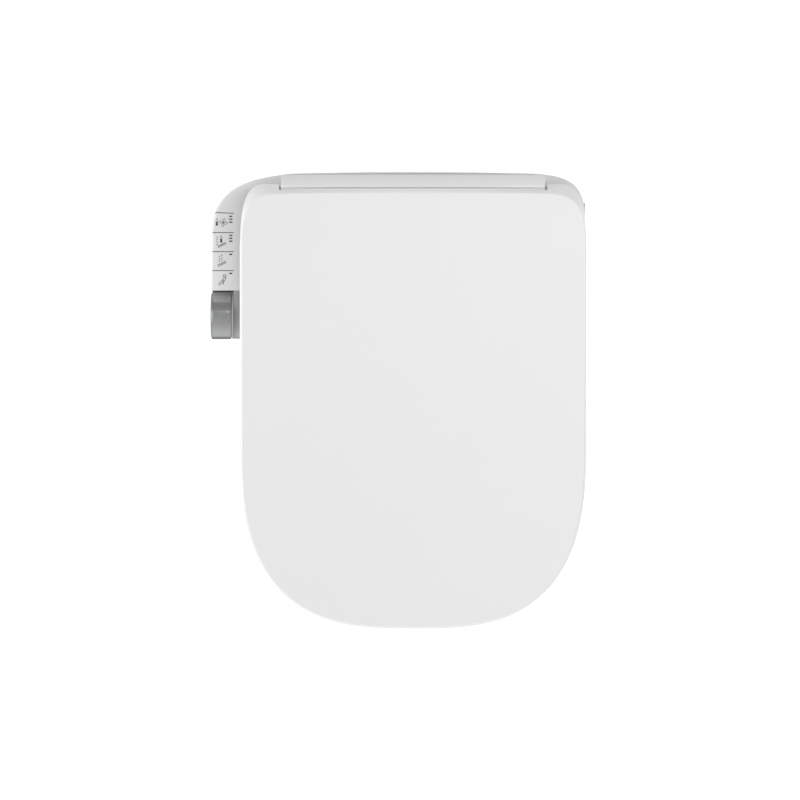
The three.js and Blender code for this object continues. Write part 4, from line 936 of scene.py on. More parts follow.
# --- lid
@dataclass
class Lid:
    """The wrap-over lid: a wedge-shaped cap with hinge walls inside its rear corners."""

    plan: LidPlan
    hinge: HingeLine
    wall: float = 3.2
    ear_wall: float = 3.0
    eye_width: float = 10.0
    running_gap: float = 1.2
    edge_round: float = 0.7
    edge_soften: float = 1.1
    rib_depth: float = 5.0
    stud: Tuple[Point3, ...] = ((0, 0, 0), (0.45, 0.1, 0), (0.66, 0.5, 0), (0.76, 1.2, 0), (0.84, 0, 0.4),
                                (0.9, 0, 0.7), (1, 0, 0.8), (1, 0, 1), (0, 0, 1))

    def ear_inner(self) -> float:
        """Returns where each ear's inner side lies."""
        return self.plan.half_width - self.hinge.ear_width

    def lip(self, bevel: float) -> Outline:
        """Returns the section of the top edge.

        Args:
            bevel: The bevel's width there.

        Returns:
            Pairs of the distance in from the outline and the drop below the top, lowest first.
        """
        soft = self.edge_soften
        cut = 0.7 * soft
        lower = [(0.0, bevel + soft), (0.0, bevel), (cut, bevel - cut)]
        upper = [(bevel - cut, cut), (bevel, 0.0), (bevel + soft, 0.0)]
        section = []
        for start, corner, end in (lower, upper):
            for step in range(7):
                t = step / 6
                weights = ((1 - t) ** 2, 2 * t * (1 - t), t * t)
                section.append(tuple(sum(w * p[axis] for w, p in zip(weights, (start, corner, end)))
                                     for axis in (0, 1)))
        return section

    def skin(self, outline: Outline) -> Form:
        """Returns the outer skin with its rounded skirt and bevelled top edge."""
        plan, loops = self.plan, []
        for k in range(4):
            turn = radians(30 * k)
            moved = inset(outline, self.edge_round * (1 - sin(turn)))
            loops.append([(*point, plan.edge(base[1]) + self.edge_round * (1 - cos(turn)))
                          for point, base in zip(moved, outline)])
        pairs = list(zip(outline, plan.crest()))
        sections = [self.lip(dist(base, inner)) for base, inner in pairs]
        for k in range(len(sections[0])):
            loops.append([self.edge_point(base, inner, *section[k])
                          for (base, inner), section in zip(pairs, sections)])
        loops.append([self.edge_point(base, inner, dist(base, inner) + 3, 0.0) for base, inner in pairs])
        return Form.stack(loops)

    def edge_point(self, base: Point2, inner: Point2, along: float, drop: float) -> Point3:
        """Returns a point between the outline and the flat top.

        Args:
            base: The outline's point.
            inner: The flat top's point that belongs to it.
            along: The distance from one towards the other.
            drop: The depth below the top's plane.

        Returns:
            The point.
        """
        share = along / dist(base, inner)
        x, y = lerp(base[0], inner[0], share), lerp(base[1], inner[1], share)
        return (x, y, self.plan.top(min(y, inner[1])) - drop)

    def hollow(self, outline: Outline, wall: float) -> Form:
        """Returns the space under the skin, a wall's thickness in."""
        plan, share = self.plan, sqrt(2) - 1
        low = [(*point, plan.edge(base[1]) - 5) for point, base in zip(inset(outline, wall), outline)]
        middle, upper = [], []
        for (x, y, _), base, inner in zip(low, outline, plan.crest()):
            bevel = dist(base, inner)
            middle.append((x, y, plan.top(inner[1]) - bevel - share * wall))
            upper.append(self.edge_point(base, inner, max(bevel + share * wall, wall + 0.3), wall))
        return Form.stack([low, middle, upper])

    def hinge_walls(self) -> List[Form]:
        """Returns the two walls in each ear that the pins pass through."""
        hinge = self.hinge
        profile = [
            *arc(hinge.centre, hinge.eye_radius, -150, 0, 20), (self.plan.rear_y, BEYOND), (-8, BEYOND),
            (-8, 82), (hinge.y - hinge.eye_radius - 4, hinge.z - 2),
        ]
        second = self.ear_inner() + self.ear_wall + 2 * self.running_gap + self.eye_width
        walls = []
        for side in (1, -1):
            for start in (self.ear_inner(), second):
                low, high = sorted((side * start, side * (start + self.ear_wall)))
                walls.append(Form.bar_x(profile, low, high))
        return walls

    def ribs(self) -> List[Form]:
        """Returns the three stiffening ribs under the top."""
        plan = self.plan
        front = plan.front_y + 60
        rear = -70
        profile = [(front, plan.top(front) - self.wall - self.rib_depth),
                   (rear, plan.top(rear) - self.wall - self.rib_depth / 2), (rear, BEYOND), (front, BEYOND)]
        return [Form.bar_x(profile, x - 1, x + 1) for x in (-60, 0.0, 60)]

    def build(self, bench: Bench) -> None:
        """Builds the lid and its bumpers.

        Args:
            bench: Where pieces go.
        """
        plan, hinge, ear = self.plan, self.hinge, self.ear_inner()
        outline = plan.outline()
        shell = self.skin(outline).cut(self.hollow(outline, self.wall))
        for side in (1, -1):
            low, high = sorted((side * ear, side * (ear + 24)))
            shell.cut(Form.block((low, hinge.y + 2, 0.0), (high, plan.rear_y + 1, hinge.z + hinge.eye_radius + 2)))
        for inner in (*self.hinge_walls(), *self.ribs()):
            shell.join(inner.common(self.hollow(outline, self.wall / 2)))
        notch_y = hinge.y + 0.6
        shell.cut(
            Form.block((-ear, notch_y, 0.0), (ear, plan.rear_y + 1, BEYOND)),
            rod_x(hinge.centre, hinge.hump_radius + 1, -ear, ear, 96),
            rod_x(hinge.centre, hinge.pin_radius + GAP, 8 - plan.half_width, plan.half_width - 8, 40))
        bench.mount(shell.smoothed(28.0), "lid_cap", "lid", ["lid_shell"], "white_gloss")
        for word in ("left", "right"):
            bench.mount_pad(f"lid_bumper_{word}", "stud", "lid", "pale_rubber", 48, self.stud)


# --- seat
class Level(Enum):
    """What a height in the seat's section counts from."""

    CREST = 0
    BASE = 1


Section = List[Tuple[float, Level, float]]


@dataclass
class Seat:
    """The heated ring: a crowned upper shell with two hinge arms, closed below by a flat shell."""

    plan: LidPlan
    hinge: HingeLine
    lid: Lid
    inset: float = 6.6
    wall: float = 3.0
    base_front_z: float = 17.0
    base_rear_z: float = 22.0
    crest_front_z: float = 50.0
    crest_rear_z: float = 62.0
    ring_rear_y: float = -80.0
    opening_y: float = -236.0
    opening_half_width: float = 106.0
    opening_half_length: float = 118.0
    opening_power: float = 2.3
    lip: float = 2.3
    deck_z: float = 46.0
    stations: int = 180
    show_corners: int = 16
    foot: Tuple[Point3, ...] = ((0, 0.6, 0), (0.5, 0.4, 0), (0.62, 0, 0), (0.74, 0, 0), (0.82, 0.7, 0), (0.88, 2, 0),
                                (0.92, 3.2, 0), (0.94, 0, 0.55), (0.99, 0, 1), (0, 0, 1))

    def crest(self, y: float) -> float:
        """Returns the height of the crest at y."""
        return lerp(self.crest_front_z, self.crest_rear_z,
                    (y - self.plan.front_y) / (self.ring_rear_y - self.plan.front_y))

    def base(self, y: float) -> float:
        """Returns the height of the underside at y."""
        return lerp(self.base_front_z, self.base_rear_z,
                    (y - self.plan.front_y) / (self.ring_rear_y - self.plan.front_y))

    def outline(self) -> Outline:
        """Returns the ring's outer edge."""
        half = self.plan.half_width - self.inset
        right = [*self.plan.nose(half, self.plan.front_y + self.inset, 60),
                 *arc((half - 26, self.ring_rear_y - 26), 26, 0, 90, 24)]
        return [*right, *mirrored(right[1:])]

    def opening(self) -> Outline:
        """Returns the ring's inner edge, a rounded oval."""
        points = []
        for k in range(240):
            angle = 2 * pi * k / 240
            across, along = (copysign(abs(part) ** (2 / self.opening_power), part)
                             for part in (cos(angle), sin(angle)))
            points.append((self.opening_half_width * across, self.opening_y + self.opening_half_length * along))
        return points

    def ray_hit(self, outline: Outline, angle: float) -> Point2:
        """Returns where a ray from the opening's centre leaves an outline."""
        dx, dy = cos(angle), sin(angle)
        for (ax, ay), (bx, by) in zip(outline, [*outline[1:], outline[0]]):
            ex, ey, cy = bx - ax, by - ay, ay - self.opening_y
            det = ex * dy - ey * dx
            if abs(det) < 1e-15:
                continue
            along = (cy * dx - ax * dy) / det
            reach = (ex * cy - ey * ax) / det
            if reach > 0 and 0 <= along < 1:
                return (ax + ex * along, ay + ey * along)
        raise ValueError("no outline point at this angle")

    def ring(self, profile: Callable[[float], Section], show: int) -> Form:
        """Sets a section round the opening.

        Args:
            profile: For a ring width, the section's corners as (distance in, level, offset).
            show: How many of them, from the first, are rounded into one curve, or 0.

        Returns:
            The ring.
        """
        outer_edge, inner_edge = self.outline(), self.opening()
        sections = []
        for k in range(self.stations):
            angle = 2 * pi * (k + 0.5) / self.stations
            outer, inner = self.ray_hit(outer_edge, angle), self.ray_hit(inner_edge, angle)
            width = dist(outer, inner)
            corners = []
            for distance, level, offset in profile(width):
                y = lerp(outer[1], inner[1], distance / width)
                corners.append((distance, offset + (self.crest(y) if level is Level.CREST else self.base(y))))
            if show:
                corners = [*smooth_path(corners[:show], 4), *corners[show:]]
            sections.append([(lerp(outer[0], inner[0], d / width), lerp(outer[1], inner[1], d / width), z)
                             for d, z in corners])
        return Form.ring(sections)

    def upper_section(self, width: float) -> Section:
        """Returns the upper shell's section for a ring width, outside and then back inside."""
        wall, lip, top, base = self.wall, self.lip, Level.CREST, Level.BASE
        outside = [(0, base, lip), (0, base, lip + 6), (0, top, -15), (0.9, top, -10.6),
                   (3.2, top, -6.6), (9, top, -2.2), (0.2 * width, top, -0.5),
                   (0.36 * width, top, -0.05), (0.62 * width, top, -1.6),
                   (width - 18, top, -3.8), (width - 9, top, -7),
                   (width - 3.4, top, -11.6), (width - 0.6, top, -16.4),
                   (width, top, -21), (width, base, lip + 3), (width, base, lip)]
        inside = [(width - wall, base, lip), (width - wall, top, -21),
                  (width - 9, top, -11.2), (0.48 * width, top, -0.8 - wall),
                  (10, top, -2 - wall), (wall, top, -14), (wall, base, lip)]
        return [*outside, *inside]

    def lower_section(self, width: float) -> Section:
        """Returns the lower shell's section, a floor with an upstand."""
        wall, low, edge, base = self.wall, 0.5, 0.9, Level.BASE
        return [(low + edge, base, 0), (width - low - edge, base, 0), (width - low, base, edge),
                (width - low, base, 2), (width - wall - 0.3, base, 2),
                (width - wall - 0.3, base, 7), (width - wall - 2, base, 7),
                (width - wall - 2, base, 2), (low, base, 2), (low, base, edge)]

    def arm(self, side: int) -> Form:
        """Returns one hinge arm with the eye that its pin passes through."""
        hinge = self.hinge
        eye_low = self.lid.ear_inner() + self.lid.ear_wall + self.lid.running_gap
        eye_high = eye_low + self.lid.eye_width
        root = self.ring_rear_y - 14
        top, bottom = hinge.z - 4, self.deck_z + 3
        x0, x1 = sorted((side * (eye_low - 16), side * (eye_high + 14)))
        beam = Form.bar_x([
            (root, bottom), *arc((8, bottom + 3), 3, -90, -30, 6),
            *arc((6.5, top - 7), 7, 0, 90, 10), (-50, top - 1.5), (root, self.crest(root) - 3.4),
        ], x0, x1)
        soften = Form.bar_y(rounded((x0, bottom), (x1, top + 0.001), 2.5), root - 1, 20)
        x2, x3 = sorted((side * eye_low, side * eye_high))
        eye = Form.bar_x([
            (0.0, bottom + 1), (14, bottom + 2), (hinge.y - 3, hinge.z - hinge.eye_radius + 0.6),
            *arc(hinge.centre, hinge.eye_radius, -80, 110, 28), (10, top), (0.0, top - 1),
        ], x2, x3)
        hole = rod_x(hinge.centre, hinge.pin_radius + GAP, x2 - 1, x3 + 1, 40)
        return beam.common(soften).join(eye).cut(hole)

    def build(self, bench: Bench) -> None:
        """Builds the ring's two shells and the bumpers underneath.

        Args:
            bench: Where pieces go.
        """
        upper = self.ring(self.upper_section, self.show_corners).join(self.arm(1), self.arm(-1))
        bench.mount(upper.smoothed(35.0), "seat_ring", "seat", ["seat_top_shell"], "white_gloss")
        lower = self.ring(self.lower_section, 0)
        screws = [self.screw_well(x, y) for x, y in self.screw_places()]
        lower.cut(*[well for well, _ in screws]).add_loose(*[screw for _, screw in screws])
        bench.mount(lower.smoothed(35.0), "seat_underside", "seat", ["seat_bottom_shell"], "white_matt")
        for place in ("front_left", "front_right", "rear_left", "rear_right"):
            bench.mount_pad(f"seat_bumper_{place}", "foot", "seat", "pale_rubber", 56, self.foot)

    def screw_places(self) -> Outline:
        """Returns where the screws that close the two shells go."""
        return [(side * x, y) for x, y in ((146, -110), (150, -205), (146, -285), (74, -392)) for side in (1, -1)]

    def screw_well(self, x: float, y: float) -> Tuple[Form, Form]:
        """Returns a shallow counterbore and the screw head that lies in it."""
        floor = self.base(y)
        well = peg(3.6, floor - 1, floor + 1.1, 32, upright(x, y))
        return well, screw_head(x, y, floor + 1.05, 3.1)


def screw_head(x: float, y: float, top: float, radius: float) -> Form:
    """Returns a pan head seen from below, with a cross recess.

    Args:
        x: Centre.
        y: Centre.
        top: Height of the face that it lies against, above it.
        radius: The head's radius.

    Returns:
        The head.
    """
    rise = 0.55 * radius
    dome = [(0.0, top - rise), (0.45 * radius, top - 0.97 * rise), (0.75 * radius, top - 0.8 * rise),
            (0.94 * radius, top - 0.5 * rise), (radius, top - 0.15 * rise), (radius, top), (0.0, top)]
    head = Form.turned(dome, 32, upright(x, y))
    reach, half = 0.55 * radius, 0.11 * radius
    for wide, deep in ((reach, half), (half, reach)):
        head.cut(Form.block((x - wide, y - deep, top - 1.2 * rise), (x + wide, y + deep, top - 0.45 * rise)))
    return head


# --- housing
@dataclass
class Housing:
    """The rear housing: a tray, a cover with the hinge hump, and the control arm that runs forward."""

    plan: LidPlan
    hinge: HingeLine
    reveal: float = 0.8
    rear_y: float = 52.0
    front_y: float = -74.3
    floor_z: float = 4.0
    wall: float = 3.0
    gap: float = GAP
    parting_z: float = 30.0
    deck_z: float = 46.0
    deck_round: float = 3.0
    crown_half: float = 130.0
    block_end_gap: float = 16.5
    block_z: float = 80.0
    ledge_z: float = 62.0
    arm_tuck: float = 3.4
    arm_width: float = 34.4
    arm_sweep_y: float = -15.0
    channel_half: float = 97.0
    channel_front_y: float = -28.0
    channel_z: float = 14.0
    rail_z: float = 7.6
    groove: float = 2.2
    hump_lip: float = 1.5
    lip_back: float = 2.8
    lip_drop: float = 1.75
    hump_foot: float = 0.985
    hump_corner: float = 4.5
    foot: Tuple[Point3, ...] = ((0, 0.7, 0), (0.6, 0.6, 0), (0.7, 0, 0), (0.8, 0, 0), (0.92, 0.5, 0), (1, 1.3, 0),
                                (1, 0, 1), (0, 0, 1))

    @property
    def half_width(self) -> float:
        """Returns the housing's half width under the lid."""
        return self.plan.half_width - self.reveal

    @property
    def arm_inner(self) -> float:
        """Returns the arm's inner side, tucked under the lid."""
        return self.arm_tuck - self.plan.half_width

    @property
    def arm_outer(self) -> float:
        """Returns the arm's outer side."""
        return self.arm_inner - self.arm_width

    @property
    def hump_half(self) -> float:
        """Returns the hinge hump's half length."""
        return self.plan.half_width - self.hinge.ear_width - self.hinge.hump_gap

    def outline(self) -> Outline:
        """Returns the plan of the housing with its arm, run past the front wall."""
        half, crown, crown_y = self.half_width, self.crown_half, self.rear_y - 1.6
        outer, past = self.arm_outer, self.front_y - 30
        right = bezier((half, 5), (half, 36), (half - 13.6, crown_y - 1.4), (crown, crown_y), 36)
        back = bezier((crown, crown_y), (crown / 3, self.rear_y + 0.5), (-crown / 3, self.rear_y + 0.5),
                      (-crown, crown_y), 24)
        left = bezier((-crown, crown_y), (outer + 37.4, crown_y - 4.4), (outer, 34), (outer, self.arm_sweep_y), 48)
        return [(half, past), *right, *back[1:-1], *left, (outer, past)]

    def domed(self, outline: Outline, low: float, high: float, radius: float) -> Form:
        """Returns a slab over an outline with a rounded upper edge."""
        angles = [radians(90 * step / 8) for step in range(9)]
        return Form.slab(outline, [(0.0, low), *((radius * (1 - cos(angle)), high - radius * (1 - sin(angle)))
                                                 for angle in angles)])

    def upper_forms(self, wall: float) -> Form:
        """Returns the centre block, the hump and the ledge, or their hollow.

        Args:
            wall: 0 for the outside, or the thickness to come in by.

        Returns:
            The forms joined together.
        """
        hinge = self.hinge
        side = self.hump_half - self.block_end_gap - wall
        top, front, low = self.block_z - wall, self.front_y + 2.3 + wall, self.parting_z
        back, ledge = self.rear_y + 2, self.ledge_z - wall
        centre = Form.bar_x([
            (front, low), (front + 4.7, top - 14), *arc((front + 16, top - 11), 11, 172, 90, 16),
            (hinge.y, top), (hinge.y + 8, ledge), (back, ledge), (back, low),
        ], -side, side)
        centre.common(Form.bar_y(rounded((-side, low - 20), (side, top), 9, 14), -100, 100))
        end, radius = self.hump_half - wall, hinge.hump_radius - wall
        foot = radius * self.hump_foot
        lip = (hinge.y + self.lip_back, hinge.z + radius - self.lip_drop)
        hump = Form.bar_x([
            (hinge.y + self.groove - radius, low), *arc(hinge.centre, radius - self.groove, 180, 86, 32),
            *arc(lip, self.hump_lip, 180, 80, 12), *arc(hinge.centre, radius, 76, -12, 40),
            (hinge.y + foot, ledge + 0.6), (hinge.y + foot + 0.8, ledge), (back, ledge), (back, low),
        ], -end, end)
        hump.common(Form.bar_y(rounded((-end, low - 20), (end, hinge.z + radius), 3, 10), -100, 100))
        above = ledge + 0.8
        ends = Form.block((-end - 1, 0.0, above), (end + 1, back + 1, BEYOND + 10))
        hump.cut(ends.cut(Form.plate(self.hump_plan(end, wall + 1.4), above - 1, BEYOND + 20)))
        return centre.join(hump).common(Form.plate(inset(self.outline(), wall + 0.2), low, BEYOND + 10))

    def hump_plan(self, end: float, step: float) -> Outline:
        """Returns the plan of the hump above its ledge, with its rear corners rounded.

        Args:
            end: Its half length.
            step: How far its rear stays inside the outline.

        Returns:
            The outline.
        """
        corner = self.hump_corner
        rear = [point for point in inset(self.outline(), step)
                if abs(point[0]) < end - corner and point[1] > self.hinge.y]
        right, left = rear[0], rear[-1]
        return [(end, -1), *arc((end - corner, right[1] - corner), corner, 0, 84, 8), *rear,
                *arc((corner - end, left[1] - corner), corner, 96, 180, 8), (-end, -1)]

    def front_trim(self, wall: float) -> Form:
        """Returns the block that squares off the front."""
        return Form.block((-300, -300, -50), (300, self.front_y + wall, 200))

    def cover(self) -> Form:
        """Returns the whole cover with its hollow."""
        outline = self.outline()
        outside = self.domed(outline, self.parting_z + self.gap, self.deck_z, self.deck_round)
        outside.join(self.upper_forms(0.0)).cut(self.front_trim(0.0))
        inner = self.domed(inset(outline, self.wall), self.parting_z - 1, self.deck_z - self.wall,
                           self.deck_round / 3)
        inner.join(self.upper_forms(self.wall)).cut(self.front_trim(self.wall))
        pin = rod_x(self.hinge.centre, self.hinge.pin_radius + self.gap, -self.hump_half - 1,
                    self.hump_half + 1, 40)
        return outside.cut(inner, pin)

    def tray(self, port: Form, apron: Form) -> Form:
        """Returns the tray with its channel, outlets and recessed screws.

        Args:
            port: The cutter for the spray wand's port.
            apron: The slope in front of the arm.

        Returns:
            The tray.
        """
        outline, wall, floor = self.outline(), self.wall, self.floor_z
        edge = [(3.0, 0.0), (2.1, 0.15), (1.2, 0.6), (0.5, 1.3), (0.1, 2.0), (0.0, 2.8)]
        body = Form.slab(outline, [*((distance, floor + rise) for distance, rise in edge),
                                   (0.0, self.parting_z)]).cut(self.front_trim(0.0))
        half, front = self.channel_half, self.channel_front_y
        raised = Form.block((-half - wall, front - wall, 0.0), (half + wall, 100, self.channel_z + wall))
        hollow = Form.slab(outline, [(wall, floor + wall - 0.15), (wall, self.parting_z + 1)])
        hollow.cut(self.front_trim(wall), raised)
        top, ledge = self.channel_z, half - 10
        body.cut(hollow, Form.block((-ledge, front + 0.2, -1), (ledge, 100, top - 0.5)),
                 Form.block((0.2 - half, 40, -1), (half - 0.2, 100, top - 0.5)),
                 Form.block((-half, front, self.rail_z), (half, 100, top)))
        return body.join(apron).cut(port, *self.outlets())

    def outlets(self) -> List[Form]:
        """Returns the cutters for what passes through its walls and its floor."""
        side, wall, gap = self.half_width, self.wall, self.gap
        low, high = box_of("dryer_flap")
        cutters = [Form.block((low.x - gap, self.front_y - 1, low.z - gap),
                              (high.x + gap, self.front_y + wall + 1, high.z + gap))]
        for node, deep in (("odour_filter", 1), ("release_button", 3)):
            low, high = box_of(node)
            cutters.append(Form.block((side - wall - deep, low.y - gap, low.z - gap),
                                      (side + 1, high.y + gap, high.z + gap)))
        for node, radius in (("inlet_union", 10.8), ("cable_gland", 7.3)):
            low, high = box_of(node)
            spot = upright((low.x + high.x) / 2, (low.y + high.y) / 2)
            cutters.append(peg(radius, 0, 10, 48, spot))
        return [*cutters, *(peg(4.2, 0, self.floor_z + 1.6, 32, upright(x, y)) for x, y in self.screw_places())]

    def screw_places(self) -> Outline:
        """Returns where the screws that hold the cover to the tray go."""
        return [(-200, -62), (-193, -2), (-118, 36), (118, 38), (172, -8), (112, -62), (-112, -62)]

    def build(self, bench: Bench, apron: Form, port: Form, panel_slots: Sequence[Form]) -> None:
        """Builds the cover, the tray and the feet.

        Args:
            bench: Where pieces go.
            apron: The slope in front of the arm.
            port: The cutter for the spray wand's port.
            panel_slots: Cutters for the indicator windows.
        """
        cover = self.cover().cut(*panel_slots)
        bench.mount(cover.smoothed(30.0), "housing_cover", "housing", ["top_cover"], "white_gloss", "arm_shaded_gloss")
        tray = self.tray(port, apron)
        tray.add_loose(*[screw_head(x, y, self.floor_z + 1.55, 3.4) for x, y in self.screw_places()])
        bench.mount(tray.smoothed(30.0), "housing_tray", "housing", ["base_chassis"], "white_gloss", "arm_shaded_gloss")
        for place in ("front_left", "front_right", "rear_left", "rear_right"):
            bench.mount_pad(f"foot_{place}", "pad", "housing", "black_rubber", 56, self.foot)


# --- control arm panel
class Symbol(Enum):
    """The plain pictograms printed on the arm, front to back."""

    WARM_AIR = 0
    WARM_WATER = 1
    STREAM_FORCE = 2
    WAND_CLEAN = 3


@dataclass
class ControlPanel:
    """Separator lines, pictograms and indicator windows on top of the control arm."""

    housing: Housing
    pitch: float = 20.3
    first_line_y: float = 7.6
    line_width: float = 0.95
    line_past: float = 3.3
    lamp_length: float = 3.2
    lamp_width: float = 1.1
    lamp_step: float = 3.1
    lamp_drop: float = 2.75
    ink: float = 0.05
    symbol_drop: float = 9.6
    rows: Tuple[int, ...] = (3, 3, 1, 1)

    @property
    def lamp_x(self) -> float:
        """Returns the column of the indicator windows."""
        return self.housing.arm_outer + 20.7

    def lamp_places(self) -> List[float]:
        """Returns the y of each indicator window."""
        return [self.first_line_y - zone * self.pitch - self.lamp_drop - self.lamp_step * row
                for zone, rows in enumerate(self.rows) for row in range(rows)]

    def lamp_plates(self, play: float, corner: float, low: float, high: float) -> List[Form]:
        """Returns a rounded plate at each window, larger by play, from low to high above the deck."""
        x, length, width, top = self.lamp_x, self.lamp_length / 2, self.lamp_width / 2, self.housing.deck_z
        return [Form.plate(rounded((x - length - play, y - width - play), (x + length + play, y + width + play),
                                   corner), top + low, top + high) for y in self.lamp_places()]

    def lamp_slots(self) -> List[Form]:
        """Returns the cutters for the windows."""
        return self.lamp_plates(0.2, 0.45, -5, 1)

    def flat(self, outline: Outline) -> Form:
        """Returns a thin layer of ink over an outline."""
        top = self.housing.deck_z
        return Form.plate(outline, top - 0.02, top + self.ink)

    def stroke(self, start: Point2, end: Point2, width: float) -> Form:
        """Returns a straight printed stroke."""
        along = (end[0] - start[0], end[1] - start[1])
        length = hypot(*along)
        nx, ny = -along[1] / length * width / 2, along[0] / length * width / 2
        return self.flat([(start[0] - nx, start[1] - ny), (end[0] - nx, end[1] - ny),
                          (end[0] + nx, end[1] + ny), (start[0] + nx, start[1] + ny)])

    def hoop(self, centre: Point2, size: Point2, turn: float, width: float) -> Form:
        """Returns a printed oval outline.

        Args:
            centre: Its middle.
            size: Half its length and half its width.
            turn: How far it is turned, in degrees.
            width: The stroke.

        Returns:
            The oval.
        """
        along, across = cos(radians(turn)), sin(radians(turn))

        def oval(grow: float) -> Outline:
            """Returns the oval made larger by a distance."""
            return [(centre[0] + (size[0] + grow) * u * along - (size[1] + grow) * v * across,
                     centre[1] + (size[0] + grow) * u * across + (size[1] + grow) * v * along)
                    for u, v in circle((0, 0), 1.0, 36)]

        outer, inner = oval(width / 2), oval(-width / 2)
        top = self.housing.deck_z
        sections = [[(*outer[k], top - 0.02), (*outer[k], top + self.ink), (*inner[k], top + self.ink),
                     (*inner[k], top - 0.02)] for k in range(len(outer))]
        return Form.ring(sections)

    def thermometer(self, x: float, y: float) -> List[Form]:
        """Returns a thermometer that stands at x, y."""
        return [self.hoop((x, y + 3.2), (2.6, 0.95), 90, 0.42), self.flat(circle((x, y - 0.6), 1.3, 28)),
                self.stroke((x, y), (x, y + 2.4), 1.7)]

    def fan(self, x: float, y: float) -> List[Form]:
        """Returns a four-bladed fan."""
        blades = [self.hoop((x + 2.4 * cos(radians(a)), y + 2.4 * sin(radians(a))),
                            (2.0, 1.1), a + 14, 0.46) for a in (72, 162, 252, 342)]
        return [*blades, self.flat(circle((x, y), 0.55, 24))]

    def wand(self, x: float, y: float) -> List[Form]:
        """Returns a slanted spray wand with a hatched body."""
        along, across = cos(radians(27)), sin(radians(27))

        def at(u: float, v: float) -> Point2:
            """Returns a place along and across the wand."""
            return (x + u * along - v * across, y + u * across + v * along)

        half, deep = 4.9, 0.95
        edges = [self.stroke(at(-half, v), at(half, v), 0.36) for v in (-deep, deep)]
        hatch = [self.stroke(at(u, -deep), at((u + 1.1), deep), 0.62) for u in (-4.4, -2.8, -1.2, 0.4, 2.0, 3.6)]
        return [*edges, *hatch]

    def stream(self, x: float, y: float, count: int) -> List[Form]:
        """Returns a dotted jet of water above y."""
        return [self.stroke((x, y + k * 2.6), (x + 0.15, y + (k * 2.6 + 1.3)), 0.95) for k in range(count)]

    def symbol(self, symbol: Symbol, x: float, y: float) -> List[Form]:
        """Returns a pictogram centred on x, y."""
        if symbol is Symbol.WARM_AIR:
            return [*self.thermometer(x - 4.4, y - 1.2), *self.fan(x + 2.6, y + 0.2)]
        if symbol is Symbol.WARM_WATER:
            return [*self.stream(x - 4.2, y - 3.6, 4), *self.thermometer(x + 0.2, y + 1.0),
                    *self.wand(x + 0.8, y - 3.4)]
        if symbol is Symbol.STREAM_FORCE:
            return [*self.stream(x - 1.6, y - 1.2, 3), *self.stream(x + 0.9, y + 0.1, 3),
                    *self.wand(x + 0.9, y - 3.2)]
        return [self.hoop((x + 1.9, y + 4.3), (1.5, 1.3), 0, 0.6),
                self.hoop((x + 1.6, y + 0.7), (2.5, 1.1), 66, 0.6),
                self.hoop((x - 1.9, y - 2.9), (3.6, 0.95), 50, 0.6),
                self.stroke((x + 0.2, y - 5.0), (x + 1.2, y - 1.6), 0.7)]

    def line_start(self, y: float) -> float:
        """Returns where a separator starts, just inside the arm's swept outer edge."""
        reach = [x for x, py in self.housing.outline() if x < -150 and abs(py - y) < 4]
        return (min(reach) if reach and y > self.housing.arm_sweep_y else self.housing.arm_outer) + 0.3

    def build(self, bench: Bench) -> None:
        """Builds the lines, the pictograms and the windows.

        Args:
            bench: Where pieces go.
        """
        inner = self.lamp_x + self.line_past
        lines = []
        for zone in range(len(self.rows)):
            y = self.first_line_y - zone * self.pitch
            start = self.line_start(y) + (1.6 if zone == 0 else 0.8)
            rise = 0.45 if zone == 0 else 0.0
            lift = 0.95 if zone == 0 else 0.2
            lines.append(self.stroke((start, y + lift + rise), (inner, y + lift - rise), self.line_width))
        bench.mount(lines[0].add_loose(*lines[1:]).smoothed(), "panel_lines", "housing", [], "white_gloss",
                    "line_ink")
        for symbol in Symbol:
            x = self.housing.arm_outer + (12.2 if symbol is Symbol.WAND_CLEAN else 10.3)
            y = self.first_line_y - symbol.value * self.pitch - self.symbol_drop
            parts = self.symbol(symbol, x, y)
            bench.mount(parts[0].add_loose(*parts[1:]).smoothed(), f"symbol_{symbol.name.lower()}", "housing", [],
                        "white_gloss", "panel_ink")
        windows = self.lamp_plates(0.0, 0.4, -4, -0.05)
        bench.mount(windows[0].add_loose(*windows[1:]).smoothed(), "lamp_windows", "housing", ["led_light_pipe"],
                    "clear_lens", "lamp_window")


